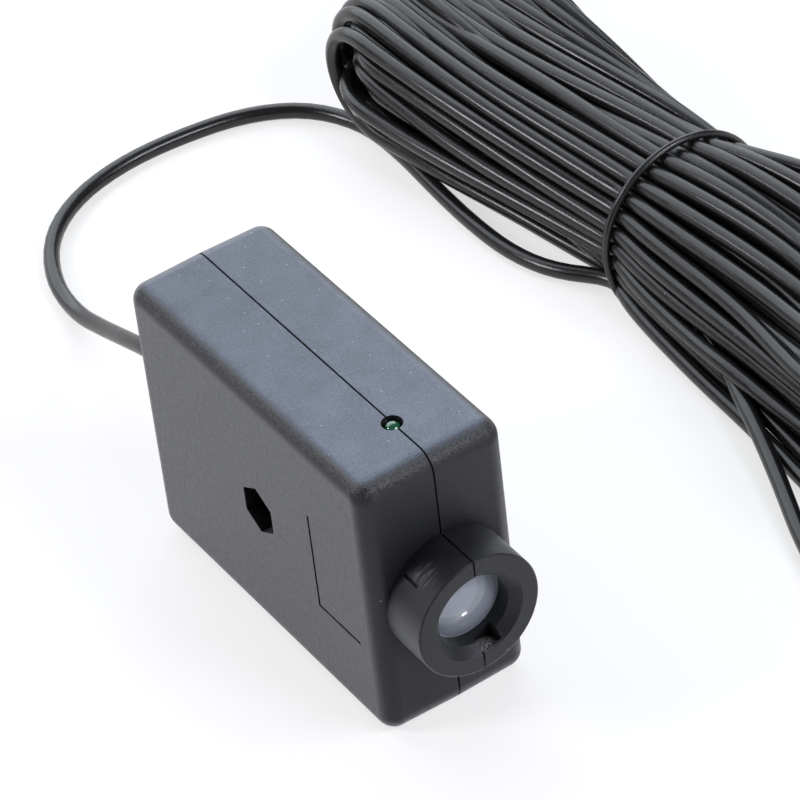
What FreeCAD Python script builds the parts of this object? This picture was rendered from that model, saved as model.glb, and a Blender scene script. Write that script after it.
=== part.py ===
import FreeCAD, Part
import math
import os

import Sketcher
from FreeCAD import Placement, Rotation, Vector

# Garage door safety sensor: the receiving half of a light beam pair.
# Two moulded half shells meet on the plane x = 0 and hold a lens, an indicator lamp and a circuit board.
# Frame: the lens looks along -Y, +Z is up, and the origin is under the middle of the housing on its base.

# Driving dimensions, in millimetres and degrees: alias, value, meaning
SIZES = [
    ("body_length", 68.2, "housing, front face to rear face at the seam"),
    ("body_height", 52.0, "housing, base to top at the seam"),
    ("body_thickness", 27.0, "housing, left face to right face"),
    ("draft_angle", 1.0, "mould draft of each half, away from the seam"),
    ("corner_radius", 3.5, "corners of the side outline at the seam"),
    ("edge_radius", 3.0, "rounded edge between the outline and each side face"),
    ("wall", 2.2, "shell wall"),
    ("seam_gap", 0.34, "width of the shadow line along the seam"),
    ("seam_depth", 0.9, "depth of the shadow line along the seam"),
    ("barrel_radius", 11.22, "outside of the lens barrel"),
    ("barrel_reach", 8.75, "barrel, front face of the housing to the barrel's end"),
    ("barrel_height", 25.36, "barrel axis above the base"),
    ("barrel_edge", 0.35, "rounded outer edge at the barrel's end"),
    ("mouth_radius", 8.2, "wide end of the bevel round the lens"),
    ("bevel_depth", 1.62, "depth of that bevel"),
    ("bore_radius", 6.6, "straight bore in front of the lens"),
    ("lens_recess", 4.45, "barrel's end to the lens rim"),
    ("lens_radius", 7.7, "lens rim"),
    ("lens_rim", 2.0, "thickness of the lens rim"),
    ("lens_bulge", 1.35, "rise of each lens face above the rim"),
    ("lens_clearance", 0.05, "play of the lens and its seal in their groove"),
    ("seal_thickness", 0.8, "rubber seal behind the lens rim"),
    ("aperture_radius", 5.9, "bore behind the lens"),
    ("notch_width", 3.6, "notch in the right half of the bevel, across the seam"),
    ("notch_length", 3.1, "the same notch along the barrel"),
    ("notch_setback", 0.35, "barrel's end to the notch"),
    ("score_length", 3.5, "short mark on the barrel's upper left, along the axis"),
    ("score_radius", 0.3, "its round section"),
    ("score_start", 0.95, "front face of the housing to the mark"),
    ("hex_flats", 8.0, "bolt head pocket across flats"),
    ("hex_depth", 7.0, "depth of the bolt head pocket"),
    ("bolt_radius", 2.75, "through hole for the bracket bolt"),
    ("bolt_offset", -0.7, "bolt axis from the middle of the housing, along Y"),
    ("bolt_height", 26.3, "bolt axis above the base"),
    ("boss_wall", 1.6, "plastic round the bolt head pocket"),
    ("line_width", 0.5, "fine moulded line on the left face"),
    ("line_depth", 0.5, "its depth"),
    ("line_offset", -16.77, "its upright leg from the middle of the housing, along Y"),
    ("line_top", 36.13, "upper end of the upright leg"),
    ("line_base", 17.17, "lower leg above the base"),
    ("line_reach", 11.56, "length of the lower leg"),
    ("lamp_offset", -23.18, "indicator lamp from the middle of the housing, along Y"),
    ("lamp_hole_radius", 1.78, "its hole in the top"),
    ("lamp_radius", 1.5, "lamp body"),
    ("lamp_length", 5.3, "lamp body with its dome"),
    ("lamp_recess", 0.05, "top of the dome below the housing's top"),
    ("lamp_flange_radius", 1.9, "lamp flange"),
    ("lamp_flange", 1.0, "thickness of that flange"),
    ("lead_width", 0.5, "square leads of the lamp and the detector"),
    ("lead_pitch", 2.54, "distance between two leads"),
    ("lead_drop", 5.0, "lamp lead below the lamp before it turns to the board"),
    ("board_face", 4.0, "component side of the board from the seam"),
    ("board_thickness", 1.6, "circuit board"),
    ("board_margin", 0.8, "front wall to the board"),
    ("board_boss_gap", 1.78, "board to the boss round the bracket bolt"),
    ("board_base", 5.5, "base and top of the housing to the board's lower and upper edge"),
    ("post_radius", 2.2, "posts that carry the board"),
    ("post_inset", 3.2, "post axis from the board's edges"),
    ("board_screw_radius", 0.9, "screws through the board"),
    ("board_screw_grip", 4.0, "length of those screws in their posts"),
    ("board_screw_head", 1.9, "head radius of those screws"),
    ("board_screw_head_height", 1.35, "head height of those screws"),
    ("screw_fit", 0.02, "radial gap between a tapping screw and its hole"),
    ("hood_width", 8.0, "shield round the detector"),
    ("hood_length", 9.0, "the same shield along Y"),
    ("detector_radius", 2.5, "detector body"),
    ("detector_length", 8.6, "detector body with its dome"),
    ("detector_fit", 0.05, "gap between the detector and its shield"),
    ("detector_lead_inset", 0.96, "rear edge of the board to the detector's leads"),
    ("chip_length", 9.4, "amplifier chip"),
    ("chip_width", 6.3, "the same, across"),
    ("chip_height", 3.2, "the same, thickness"),
    ("chip_standoff", 0.5, "board to the chip"),
    ("chip_pitch", 2.54, "distance between two legs of the chip"),
    ("can_radius", 2.5, "smoothing capacitor"),
    ("can_length", 10.5, "the same, height above the board"),
    ("disc_radius", 2.1, "ceramic capacitors"),
    ("disc_thickness", 1.5, "the same, thickness"),
    ("resistor_radius", 0.85, "resistor body"),
    ("resistor_length", 3.4, "the same, length"),
    ("resistor_span", 6.4, "distance between a resistor's two legs"),
    ("wire_radius", 0.28, "bare leads of the small components"),
    ("disc_wire_pitch", 2.52, "distance between the two leads of a ceramic capacitor"),
    ("part_gap", 0.9, "space between two components on the board"),
    ("part_height", 1.6, "axis of a resistor or diode above the board"),
    ("transistor_radius", 2.3, "output transistor"),
    ("transistor_height", 4.6, "the same, height"),
    ("transistor_flat", 1.2, "its flat from its axis"),
    ("shell_screw_radius", 1.3, "tapping screws that close the shells"),
    ("shell_screw_head", 2.4, "head radius of those screws"),
    ("shell_screw_head_height", 1.7, "head height of those screws"),
    ("shell_screw_grip", 7.5, "length of those screws in the left half"),
    ("shell_screw_recess", 3.0, "head pocket in the right face"),
    ("shell_screw_inset", 7.0, "screw axis from the rear face, the base and the top"),
    ("slot_width", 0.8, "cross slot in a screw head"),
    ("slot_depth", 0.9, "its depth"),
    ("slot_reach", 1.7, "its reach from the screw's axis"),
    ("cord_radius", 1.5, "outside of the two-core cord"),
    ("cord_height", 18.0, "cord axis above the base where it leaves the rear face"),
    ("cord_fit", 0.1, "radial gap round the cord in the rear wall and its clamp"),
    ("loose_fit", 0.15, "radial gap round a screw head or in the board's holes"),
    ("clamp_length", 9.0, "block inside the rear wall that grips the cord"),
    ("clamp_height", 8.0, "the same block, along Z"),
    ("stub_length", 15.0, "sheathed cord inside the housing"),
    ("core_radius", 0.55, "insulated core of the cord"),
    ("core_gap", 0.1, "space between the two cores where the sheath ends"),
    ("core_lead", 6.0, "straight core past the sheath's end"),
    ("core_slack", 1.5, "sag of the cores under the bolt boss"),
    ("core_rise", 2.5, "straight core above its place on the board"),
    ("solder_inset", 1.5, "rear edge of the board to the two soldering places"),
    ("solder_height", 3.5, "lower edge of the board to the middle between them"),
    ("solder_pitch", 3.6, "distance between them"),
    ("strand_radius", 0.25, "copper inside a core"),
    ("tail_length", 14.0, "insulated core past the cord's far end"),
    ("tail_bare", 6.0, "bare copper at its tip"),
    ("tie_radius", 0.7, "wire tie round the hank"),
    ("tie_clearance", 0.05, "tie to hank"),
]

ROOT3 = math.sqrt(3.0)

doc = FreeCAD.newDocument("door_beam_sensor")
sheet = doc.addObject("Spreadsheet::Sheet", "sizes")
for row, (alias, number, meaning) in enumerate(SIZES, start=1):
    sheet.set(f"A{row}", alias)
    sheet.set(f"B{row}", str(number))
    sheet.set(f"C{row}", meaning)
    sheet.setAlias(f"B{row}", alias)
doc.recompute()


class Size:
    """A length that knows the expression tying it to the sheet and its present number."""

    def __init__(self, text, number):
        self.text = text
        self.number = number

    def __add__(self, other):
        other = as_size(other)
        return Size(f"({self.text} + {other.text})", self.number + other.number)

    def __sub__(self, other):
        other = as_size(other)
        return Size(f"({self.text} - {other.text})", self.number - other.number)

    def __mul__(self, factor):
        return Size(f"({self.text} * {factor})", self.number * factor)

    def __truediv__(self, factor):
        return Size(f"({self.text} / {factor})", self.number / factor)

    def __neg__(self):
        return self * -1.0


def as_size(item):
    return item if isinstance(item, Size) else Size(f"({float(item)})", float(item))


def cell(alias):
    return Size(f"sizes.{alias}", float(sheet.get(alias)))


# Places that several pieces share
half_thickness = cell("body_thickness") / 2
mid_y = cell("barrel_reach") / 2
front_y = mid_y - cell("body_length") / 2
rear_y = mid_y + cell("body_length") / 2
end_y = front_y - cell("barrel_reach")
axis_z = cell("barrel_height")
inner_x = half_thickness - cell("wall")
bolt_y = mid_y + cell("bolt_offset")
bolt_z = cell("bolt_height")
boss_radius = cell("hex_flats") / ROOT3 + cell("boss_wall")
lamp_y = mid_y + cell("lamp_offset")
lens_y = end_y + cell("lens_recess")
lens_back_y = lens_y + cell("lens_rim")
seal_back_y = lens_back_y + cell("seal_thickness")
groove_radius = cell("lens_radius") + cell("lens_clearance")
cord_z = cell("cord_height")
hole_radius = cell("cord_radius") + cell("cord_fit")
board_front_y = front_y + cell("wall") + cell("board_margin")
board_rear_y = bolt_y - boss_radius - cell("board_boss_gap")
board_top_z = cell("body_height") - cell("board_base")
board_back_x = cell("board_face") + cell("board_thickness")
screw_y = rear_y - cell("shell_screw_inset")
screw_heights = [cell("shell_screw_inset"), cell("body_height") - cell("shell_screw_inset")]
screw_hole = cell("shell_screw_radius") + cell("screw_fit")
post_low_z = cell("board_base") + cell("post_inset")
post_high_z = board_top_z - cell("post_inset")
post_front_y = board_front_y + cell("post_inset")
post_rear_y = board_rear_y - cell("post_inset")
screwed_posts = [(post_front_y, post_low_z), (post_rear_y, post_high_z)]
plain_posts = [(post_rear_y, post_low_z), (post_front_y, post_high_z)]

CUT_MARGIN = 1.0  # how far a cutting shape starts outside the solid that it cuts
SAME_PLACE = 1e-4  # two places closer than this are the same
ARC_SHARE = 0.45  # part of the shorter run that a bend of the cord takes up
VOLUME_TOLERANCE = 0.02  # how far a swept rod may be from its section times its length


def bind(item, path, size):
    """Set a property from the sheet."""
    item.setExpression(path, as_size(size).text)


# Sketch helpers

def origin_plane(body, role):
    return [item for item in body.Origin.OriginFeatures if item.Role == role][0]


def new_sketch(body, role, name, offset=None):
    """A sketch on one of the body's own origin planes, moved along the plane's normal by offset."""
    sketch = body.newObject("Sketcher::SketchObject", name)
    sketch.AttachmentSupport = [(origin_plane(body, role), "")]
    sketch.MapMode = "FlatFace"
    if offset is not None:
        bind(sketch, "AttachmentOffset.Base.z", offset)
    return sketch


def dimension(sketch, kind, geometry, point, size):
    """A driving dimension whose value comes from the sheet."""
    size = as_size(size)
    if point is None:
        index = sketch.addConstraint(Sketcher.Constraint(kind, geometry, size.number))
    else:
        index = sketch.addConstraint(Sketcher.Constraint(kind, geometry, point, size.number))
    sketch.setExpression(f"Constraints[{index}]", size.text)


def polygon(sketch, corners):
    """A closed run of lines whose corners are each placed by two sizes."""
    corners = [(as_size(u), as_size(v)) for u, v in corners]
    places = [Vector(u.number, v.number, 0) for u, v in corners]
    first = sketch.GeometryCount
    count = len(corners)
    for index in range(count):
        sketch.addGeometry(Part.LineSegment(places[index], places[(index + 1) % count]), False)
    for index in range(count):
        following = first + (index + 1) % count
        sketch.addConstraint(Sketcher.Constraint("Coincident", first + index, 2, following, 1))
    for index, (u, v) in enumerate(corners):
        dimension(sketch, "DistanceX", first + index, 1, u)
        dimension(sketch, "DistanceY", first + index, 1, v)


def rectangle(sketch, low_u, low_v, high_u, high_v):
    polygon(sketch, [(low_u, low_v), (high_u, low_v), (high_u, high_v), (low_u, high_v)])


def circle(sketch, centre_u, centre_v, radius):
    centre_u = as_size(centre_u)
    centre_v = as_size(centre_v)
    centre = Vector(centre_u.number, centre_v.number, 0)
    index = sketch.addGeometry(Part.Circle(centre, Vector(0, 0, 1), as_size(radius).number), False)
    dimension(sketch, "DistanceX", index, 3, centre_u)
    dimension(sketch, "DistanceY", index, 3, centre_v)
    dimension(sketch, "Radius", index, None, radius)


def half_disc(sketch, centre_v, radius, side):
    """The half of a disc centred on u = 0 that lies on one side of the seam."""
    low = Vector(0, centre_v.number - radius.number, 0)
    high = Vector(0, centre_v.number + radius.number, 0)
    outer = Vector(side * radius.number, centre_v.number, 0)
    arc = sketch.addGeometry(Part.Arc(low, outer, high), False)
    line = sketch.addGeometry(Part.LineSegment(high, low), False)
    start, end = (1, 2) if side > 0 else (2, 1)
    sketch.addConstraint(Sketcher.Constraint("Coincident", arc, end, line, 1))
    sketch.addConstraint(Sketcher.Constraint("Coincident", arc, start, line, 2))
    dimension(sketch, "DistanceX", arc, 3, 0.0)
    dimension(sketch, "DistanceX", line, 1, 0.0)
    dimension(sketch, "DistanceX", line, 2, 0.0)
    dimension(sketch, "DistanceY", arc, 3, centre_v)
    dimension(sketch, "Radius", arc, None, radius)


def rounded_rectangle(sketch, low_u, low_v, high_u, high_v, radius):
    """A rectangle with four equal round corners."""
    a, b, c, d, r = (as_size(item).number for item in (low_u, low_v, high_u, high_v, radius))
    corners = [(c - r, b + r, -90), (c - r, d - r, 0), (a + r, d - r, 90), (a + r, b + r, 180)]
    sides = [
        ((a + r, b), (c - r, b)),
        ((c, b + r), (c, d - r)),
        ((c - r, d), (a + r, d)),
        ((a, d - r), (a, b + r)),
    ]
    first = sketch.GeometryCount
    for (u0, v0), (u1, v1) in sides:
        sketch.addGeometry(Part.LineSegment(Vector(u0, v0, 0), Vector(u1, v1, 0)), False)
    for u, v, start in corners:
        whole = Part.Circle(Vector(u, v, 0), Vector(0, 0, 1), r)
        sketch.addGeometry(Part.ArcOfCircle(whole, math.radians(start), math.radians(start + 90)), False)
    for index in range(4):
        line = first + index
        arc = first + 4 + index
        following = first + (index + 1) % 4
        sketch.addConstraint(Sketcher.Constraint("Tangent", line, 2, arc, 1))
        sketch.addConstraint(Sketcher.Constraint("Tangent", arc, 2, following, 1))
    for index in range(3):
        sketch.addConstraint(Sketcher.Constraint("Equal", first + 4 + index, first + 5 + index))
    for index in range(4):
        kind = "Vertical" if index % 2 else "Horizontal"
        sketch.addConstraint(Sketcher.Constraint(kind, first + index))
    dimension(sketch, "Radius", first + 4, None, radius)
    dimension(sketch, "DistanceY", first, 1, low_v)
    dimension(sketch, "DistanceX", first + 1, 1, high_u)
    dimension(sketch, "DistanceY", first + 2, 1, high_v)
    dimension(sketch, "DistanceX", first + 3, 1, low_u)


# Feature helpers

def pad(body, sketch, length, reverse=False):
    feature = body.newObject("PartDesign::Pad", sketch.Name + "_pad")
    feature.Profile = sketch
    feature.Reversed = reverse
    bind(feature, "Length", length)
    doc.recompute()
    return feature


def pocket(body, sketch, length, reverse=False):
    """Cut a sketch into the body; a cut that takes nothing away is an error."""
    before = body.Shape.Volume
    feature = body.newObject("PartDesign::Pocket", sketch.Name + "_pocket")
    feature.Profile = sketch
    feature.Reversed = reverse
    bind(feature, "Length", length)
    doc.recompute()
    if body.Shape.Volume >= before:
        raise RuntimeError(f"{body.Label}: {sketch.Name} cut nothing")
    return feature


def edge_names(shape, chosen):
    return [f"Edge{index}" for index, edge in enumerate(shape.Edges, start=1) if chosen(edge)]


def fillet(body, base, chosen, radius):
    feature = body.newObject("PartDesign::Fillet", base.Name + "_fillet")
    feature.Base = (base, edge_names(base.Shape, chosen))
    bind(feature, "Radius", radius)
    doc.recompute()
    return feature


# The two half shells

def shell_body(name, side):
    """One half shell: side is -1 for the left half and +1 for the right half."""
    left = side < 0
    body = doc.addObject("PartDesign::Body", name)
    body.Label = name

    # Outer form, drafted away from the seam and rounded where it turns into the side face
    outline = new_sketch(body, "YZ_Plane", f"{name}_outline")
    rounded_rectangle(outline, front_y, 0.0, rear_y, cell("body_height"), cell("corner_radius"))
    outer = pad(body, outline, half_thickness, left)
    bind(outer, "TaperAngle", -cell("draft_angle"))
    doc.recompute()
    face_x = side * half_thickness.number

    def face_edge(edge):
        return all(abs(v.X - face_x) < SAME_PLACE for v in edge.Vertexes)

    fillet(body, outer, face_edge, cell("edge_radius"))

    # Half of the lens barrel
    ring = new_sketch(body, "XZ_Plane", f"{name}_barrel", -end_y)
    half_disc(ring, axis_z, cell("barrel_radius"), side)
    barrel = pad(body, ring, cell("barrel_reach") + cell("wall"), True)
    half_turn = math.pi * cell("barrel_radius").number

    def end_edge(edge):
        at_end = all(abs(v.Y - end_y.number) < SAME_PLACE for v in edge.Vertexes)
        return at_end and abs(edge.Length - half_turn) < SAME_PLACE

    fillet(body, barrel, end_edge, cell("barrel_edge"))

    # Hollow for the board
    hollow = new_sketch(body, "YZ_Plane", f"{name}_hollow")
    wall = cell("wall")
    inner_corner = cell("corner_radius") - wall
    rounded_rectangle(hollow, front_y + wall, wall, rear_y - wall, cell("body_height") - wall, inner_corner)
    pocket(body, hollow, inner_x, not left)

    # Boss round the bracket bolt, clamp for the cord and bosses for the closing screws
    boss = new_sketch(body, "YZ_Plane", f"{name}_bolt_boss")
    circle(boss, bolt_y, bolt_z, boss_radius)
    pad(body, boss, inner_x, left)
    clamp = new_sketch(body, "YZ_Plane", f"{name}_cord_clamp")
    clamp_front_y = rear_y - wall - cell("clamp_length")
    clamp_half = cell("clamp_height") / 2
    rectangle(clamp, clamp_front_y, cord_z - clamp_half, rear_y - wall, cord_z + clamp_half)
    pad(body, clamp, inner_x, left)
    bosses = new_sketch(body, "YZ_Plane", f"{name}_screw_bosses")
    for height in screw_heights:
        circle(bosses, screw_y, height, cell("shell_screw_head") + cell("boss_wall"))
    pad(body, bosses, inner_x, left)

    # Bevel, bore, lens groove and aperture, turned about the barrel axis
    profile = new_sketch(body, "XY_Plane", f"{name}_bore", axis_z)
    groove_back_y = seal_back_y + cell("lens_clearance")
    polygon(profile, [
        (0.0, end_y - CUT_MARGIN),
        (cell("mouth_radius"), end_y - CUT_MARGIN),
        (cell("mouth_radius"), end_y),
        (cell("bore_radius"), end_y + cell("bevel_depth")),
        (cell("bore_radius"), lens_y),
        (groove_radius, lens_y),
        (groove_radius, groove_back_y),
        (cell("aperture_radius"), groove_back_y),
        (cell("aperture_radius"), front_y + wall),
        (0.0, front_y + wall),
    ])
    before = body.Shape.Volume
    bore = body.newObject("PartDesign::Groove", f"{name}_bore_groove")
    bore.Profile = profile
    bore.ReferenceAxis = (profile, ["V_Axis"])
    bore.Angle = 360.0
    doc.recompute()
    if body.Shape.Volume >= before:
        raise RuntimeError(f"{name}: the barrel was not bored")

    # Hole for the indicator lamp in the top, and for the cord through the rear wall and the clamp
    lamp_hole = new_sketch(body, "XY_Plane", f"{name}_lamp_hole", cell("body_height") + CUT_MARGIN)
    circle(lamp_hole, 0.0, lamp_y, cell("lamp_hole_radius"))
    pocket(body, lamp_hole, wall + 2 * CUT_MARGIN)
    cord_hole = new_sketch(body, "XZ_Plane", f"{name}_cord_hole", -rear_y - CUT_MARGIN)
    circle(cord_hole, 0.0, cord_z, hole_radius)
    pocket(body, cord_hole, wall + cell("clamp_length") + 2 * CUT_MARGIN, True)

    # Through hole for the bracket bolt
    bolt_hole = new_sketch(body, "YZ_Plane", f"{name}_bolt_hole")
    circle(bolt_hole, bolt_y, bolt_z, cell("bolt_radius"))
    pocket(body, bolt_hole, half_thickness + CUT_MARGIN, not left)

    if left:
        left_details(body, name)
    else:
        right_details(body, name)

    # Shadow line: the outer rim of the joint stands back from the seam
    depth = cell("seam_depth")
    rim = new_sketch(body, "YZ_Plane", f"{name}_seam_rim")
    rectangle(rim, front_y - CUT_MARGIN, -CUT_MARGIN, rear_y + CUT_MARGIN, cell("body_height") + CUT_MARGIN)
    inset_corner = cell("corner_radius") - depth
    rounded_rectangle(rim, front_y + depth, depth, rear_y - depth, cell("body_height") - depth, inset_corner)
    pocket(body, rim, cell("seam_gap") / 2, not left)
    low = axis_z - cell("barrel_radius")
    high = axis_z + cell("barrel_radius")
    strip = new_sketch(body, "YZ_Plane", f"{name}_seam_barrel")
    polygon(strip, [
        (front_y, high + CUT_MARGIN),
        (end_y - CUT_MARGIN, high + CUT_MARGIN),
        (end_y - CUT_MARGIN, low - CUT_MARGIN),
        (front_y, low - CUT_MARGIN),
        (front_y, low + depth),
        (end_y + depth, low + depth),
        (end_y + depth, high - depth),
        (front_y, high - depth),
    ])
    pocket(body, strip, cell("seam_gap") / 2, not left)
    return body


def left_details(body, name):
    """Bolt head pocket, fine line, mark on the barrel and pilot holes of the left half."""
    flat = cell("hex_flats") / 2
    point = cell("hex_flats") / ROOT3
    head = new_sketch(body, "YZ_Plane", f"{name}_bolt_head", -half_thickness)
    polygon(head, [
        (bolt_y, bolt_z + point),
        (bolt_y - flat, bolt_z + point / 2),
        (bolt_y - flat, bolt_z - point / 2),
        (bolt_y, bolt_z - point),
        (bolt_y + flat, bolt_z - point / 2),
        (bolt_y + flat, bolt_z + point / 2),
    ])
    pocket(body, head, cell("hex_depth"), True)

    half = cell("line_width") / 2
    leg_y = mid_y + cell("line_offset")
    line = new_sketch(body, "YZ_Plane", f"{name}_fine_line", -half_thickness)
    polygon(line, [
        (leg_y - half, cell("line_top")),
        (leg_y - half, cell("line_base") + half),
        (leg_y - cell("line_reach"), cell("line_base") + half),
        (leg_y - cell("line_reach"), cell("line_base") - half),
        (leg_y + half, cell("line_base") - half),
        (leg_y + half, cell("line_top")),
    ])
    pocket(body, line, cell("line_depth"), True)

    # The mark lies at the barrel's upper left, halfway between its top and its side
    reach = cell("barrel_radius") / math.sqrt(2.0)
    mark = new_sketch(body, "XZ_Plane", f"{name}_score", -front_y + cell("score_start"))
    circle(mark, -reach, axis_z + reach, cell("score_radius"))
    pocket(body, mark, cell("score_length"), True)

    pilots = new_sketch(body, "YZ_Plane", f"{name}_pilot_holes")
    for height in screw_heights:
        circle(pilots, screw_y, height, screw_hole)
    pocket(body, pilots, cell("shell_screw_grip") + CUT_MARGIN)


def right_details(body, name):
    """Board posts, screw holes and the notch beside the seam of the right half."""
    stands = new_sketch(body, "YZ_Plane", f"{name}_board_posts", board_back_x)
    for post_y, post_z in screwed_posts + plain_posts:
        circle(stands, post_y, post_z, cell("post_radius"))
    pad(body, stands, inner_x - board_back_x)
    taps = new_sketch(body, "YZ_Plane", f"{name}_board_taps", board_back_x)
    for post_y, post_z in screwed_posts:
        circle(taps, post_y, post_z, cell("board_screw_radius") + cell("screw_fit"))
    pocket(body, taps, cell("board_screw_grip") + CUT_MARGIN / 2, True)

    through = new_sketch(body, "YZ_Plane", f"{name}_screw_holes")
    for height in screw_heights:
        circle(through, screw_y, height, screw_hole)
    pocket(body, through, half_thickness + CUT_MARGIN, True)
    heads = new_sketch(body, "YZ_Plane", f"{name}_screw_heads", half_thickness)
    for height in screw_heights:
        circle(heads, screw_y, height, cell("shell_screw_head") + cell("loose_fit"))
    pocket(body, heads, cell("shell_screw_recess"))

    floor_z = axis_z - cell("mouth_radius")
    notch = new_sketch(body, "XY_Plane", f"{name}_notch", floor_z)
    notch_front_y = end_y + cell("notch_setback")
    rectangle(notch, 0.0, notch_front_y, cell("notch_width"), notch_front_y + cell("notch_length"))
    pocket(body, notch, cell("mouth_radius") - cell("bore_radius") / 2, True)


# Part primitives

def place(item, x, y, z, rotation=None):
    """Put an item at three sizes, with a fixed rotation."""
    if rotation is not None:
        item.Placement = Placement(Vector(), rotation)
    for axis, size in zip("xyz", (x, y, z)):
        bind(item, f"Placement.Base.{axis}", size)
    return item


ALONG = {
    "+x": Rotation(Vector(0, 0, 1), Vector(1, 0, 0)),
    "-x": Rotation(Vector(0, 0, 1), Vector(-1, 0, 0)),
    "+y": Rotation(Vector(0, 0, 1), Vector(0, 1, 0)),
    "-y": Rotation(Vector(0, 0, 1), Vector(0, -1, 0)),
    "+z": Rotation(),
    "-z": Rotation(Vector(1, 0, 0), 180),
}


def cylinder(name, radius, height, x, y, z, along="+z"):
    item = doc.addObject("Part::Cylinder", name)
    bind(item, "Radius", radius)
    bind(item, "Height", height)
    return place(item, x, y, z, ALONG[along])


def box(name, low, high):
    """A box between two corners."""
    item = doc.addObject("Part::Box", name)
    for path, start, end in zip(("Length", "Width", "Height"), low, high):
        bind(item, path, as_size(end) - start)
    return place(item, *low)


def ball(name, radius, x, y, z):
    item = doc.addObject("Part::Sphere", name)
    bind(item, "Radius", radius)
    return place(item, x, y, z)


def fuse(name, pieces):
    item = doc.addObject("Part::MultiFuse", name)
    item.Shapes = pieces
    item.Refine = True
    return item


def common(name, pieces):
    item = doc.addObject("Part::MultiCommon", name)
    item.Shapes = pieces
    return item


def cut(name, base, tool):
    item = doc.addObject("Part::Cut", name)
    item.Base = base
    item.Tool = tool
    return item


def group(name, pieces):
    """Like pieces that stay separate solids in one node."""
    item = doc.addObject("Part::Compound", name)
    item.Links = pieces
    return item


def bent_lead(name, start, corner, end, width):
    """A square lead that runs from start to corner to end; each place is three sizes."""
    half = width / 2
    legs = []
    for index, (a, b) in enumerate(((start, corner), (corner, end))):
        low = []
        high = []
        for p, q, c in zip(a, b, corner):
            small, large = (p, q) if p.number <= q.number else (q, p)
            still = abs(p.number - q.number) < SAME_PLACE
            widen_low = still or abs(small.number - c.number) < SAME_PLACE
            widen_high = still or abs(large.number - c.number) < SAME_PLACE
            low.append(small - half if widen_low else small)
            high.append(large + half if widen_high else large)
        legs.append(box(f"{name}_leg{index}", low, high))
    return fuse(name, legs)


# Lens and seal

def lens():
    """A glass-clear biconvex lens: a rim with a spherical cap on each side."""
    rim = cylinder("lens_disc", cell("lens_radius"), cell("lens_rim"), 0.0, lens_y, axis_z, "+y")
    front = spherical_cap("lens_front", cell("bore_radius"), lens_y, lens_back_y, -1)
    back = spherical_cap("lens_back", cell("aperture_radius"), lens_back_y, lens_y, +1)
    return fuse("lens", [rim, front, back])


def spherical_cap(name, radius, face_y, far_y, side):
    """A cap of lens_bulge height on a disc of the given radius, made as a ball cut by a cylinder."""
    bulge = cell("lens_bulge")
    curve = Size(
        f"(({radius.text} ^ 2 + {bulge.text} ^ 2) / (2 * {bulge.text}))",
        (radius.number ** 2 + bulge.number ** 2) / (2 * bulge.number),
    )
    centre_y = face_y + bulge * side - curve * side
    whole = ball(f"{name}_ball", curve, 0.0, centre_y, axis_z)
    along = "+y" if side > 0 else "-y"
    mid_rim_y = (face_y + far_y) / 2
    trim = cylinder(f"{name}_trim", radius, cell("lens_rim") + bulge, 0.0, mid_rim_y, axis_z, along)
    return common(name, [whole, trim])


def lens_seal():
    """A flat rubber ring that presses the lens rim against the front of its groove."""
    thickness = cell("seal_thickness")
    outer = cylinder("seal_outer", cell("lens_radius"), thickness, 0.0, lens_back_y, axis_z, "+y")
    hole_y = lens_back_y - CUT_MARGIN
    hole_length = thickness + 2 * CUT_MARGIN
    inner = cylinder("seal_inner", cell("bore_radius"), hole_length, 0.0, hole_y, axis_z, "+y")
    return cut("lens_seal", outer, inner)


# Indicator lamp and detector

lamp_top_z = cell("body_height") - cell("lamp_recess")
lamp_base_z = lamp_top_z - cell("lamp_length")


def indicator_lamp():
    """A small domed lamp with a flange, standing in its hole in the top."""
    radius = cell("lamp_radius")
    flange_radius = cell("lamp_flange_radius")
    flange = cylinder("lamp_rim", flange_radius, cell("lamp_flange"), 0.0, lamp_y, lamp_base_z)
    stem = cylinder("lamp_stem", radius, cell("lamp_length") - radius, 0.0, lamp_y, lamp_base_z)
    dome = ball("lamp_dome", radius, 0.0, lamp_y, lamp_top_z - radius)
    return fuse("indicator_lamp", [flange, stem, dome])


def lamp_leads():
    """Two leads that drop from the lamp and turn to the board."""
    turn_z = lamp_base_z - cell("lead_drop")
    leads = []
    for index, side in enumerate((-1, 1)):
        lead_y = lamp_y + cell("lead_pitch") * (side / 2)
        start = (as_size(0.0), lead_y, lamp_base_z)
        corner = (as_size(0.0), lead_y, turn_z)
        end = (cell("board_face"), lead_y, turn_z)
        leads.append(bent_lead(f"lamp_lead{index}", start, corner, end, cell("lead_width")))
    return group("lamp_leads", leads)


detector_turn_y = board_rear_y - cell("detector_lead_inset")
detector_back_y = detector_turn_y - cell("lead_pitch")
detector_tip_y = detector_back_y - cell("detector_length")
hood_front_y = detector_back_y - cell("hood_length")


def detector():
    """The light detector: a dark body whose dome looks at the lens."""
    radius = cell("detector_radius")
    straight = cell("detector_length") - radius
    stem = cylinder("detector_stem", radius, straight, 0.0, detector_back_y, axis_z, "-y")
    dome = ball("detector_dome", radius, 0.0, detector_tip_y + radius, axis_z)
    return fuse("detector", [stem, dome])


def detector_hood():
    """A shield that sits on the board and holds the detector."""
    half = cell("hood_width") / 2
    block = box(
        "hood_block",
        (cell("board_face") - cell("hood_width"), hood_front_y, axis_z - half),
        (cell("board_face"), detector_back_y, axis_z + half),
    )
    bore_radius = cell("detector_radius") + cell("detector_fit")
    bore_length = cell("hood_length") + 2 * CUT_MARGIN
    bore = cylinder("hood_bore", bore_radius, bore_length, 0.0, hood_front_y - CUT_MARGIN, axis_z, "+y")
    return cut("detector_hood", block, bore)


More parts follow.
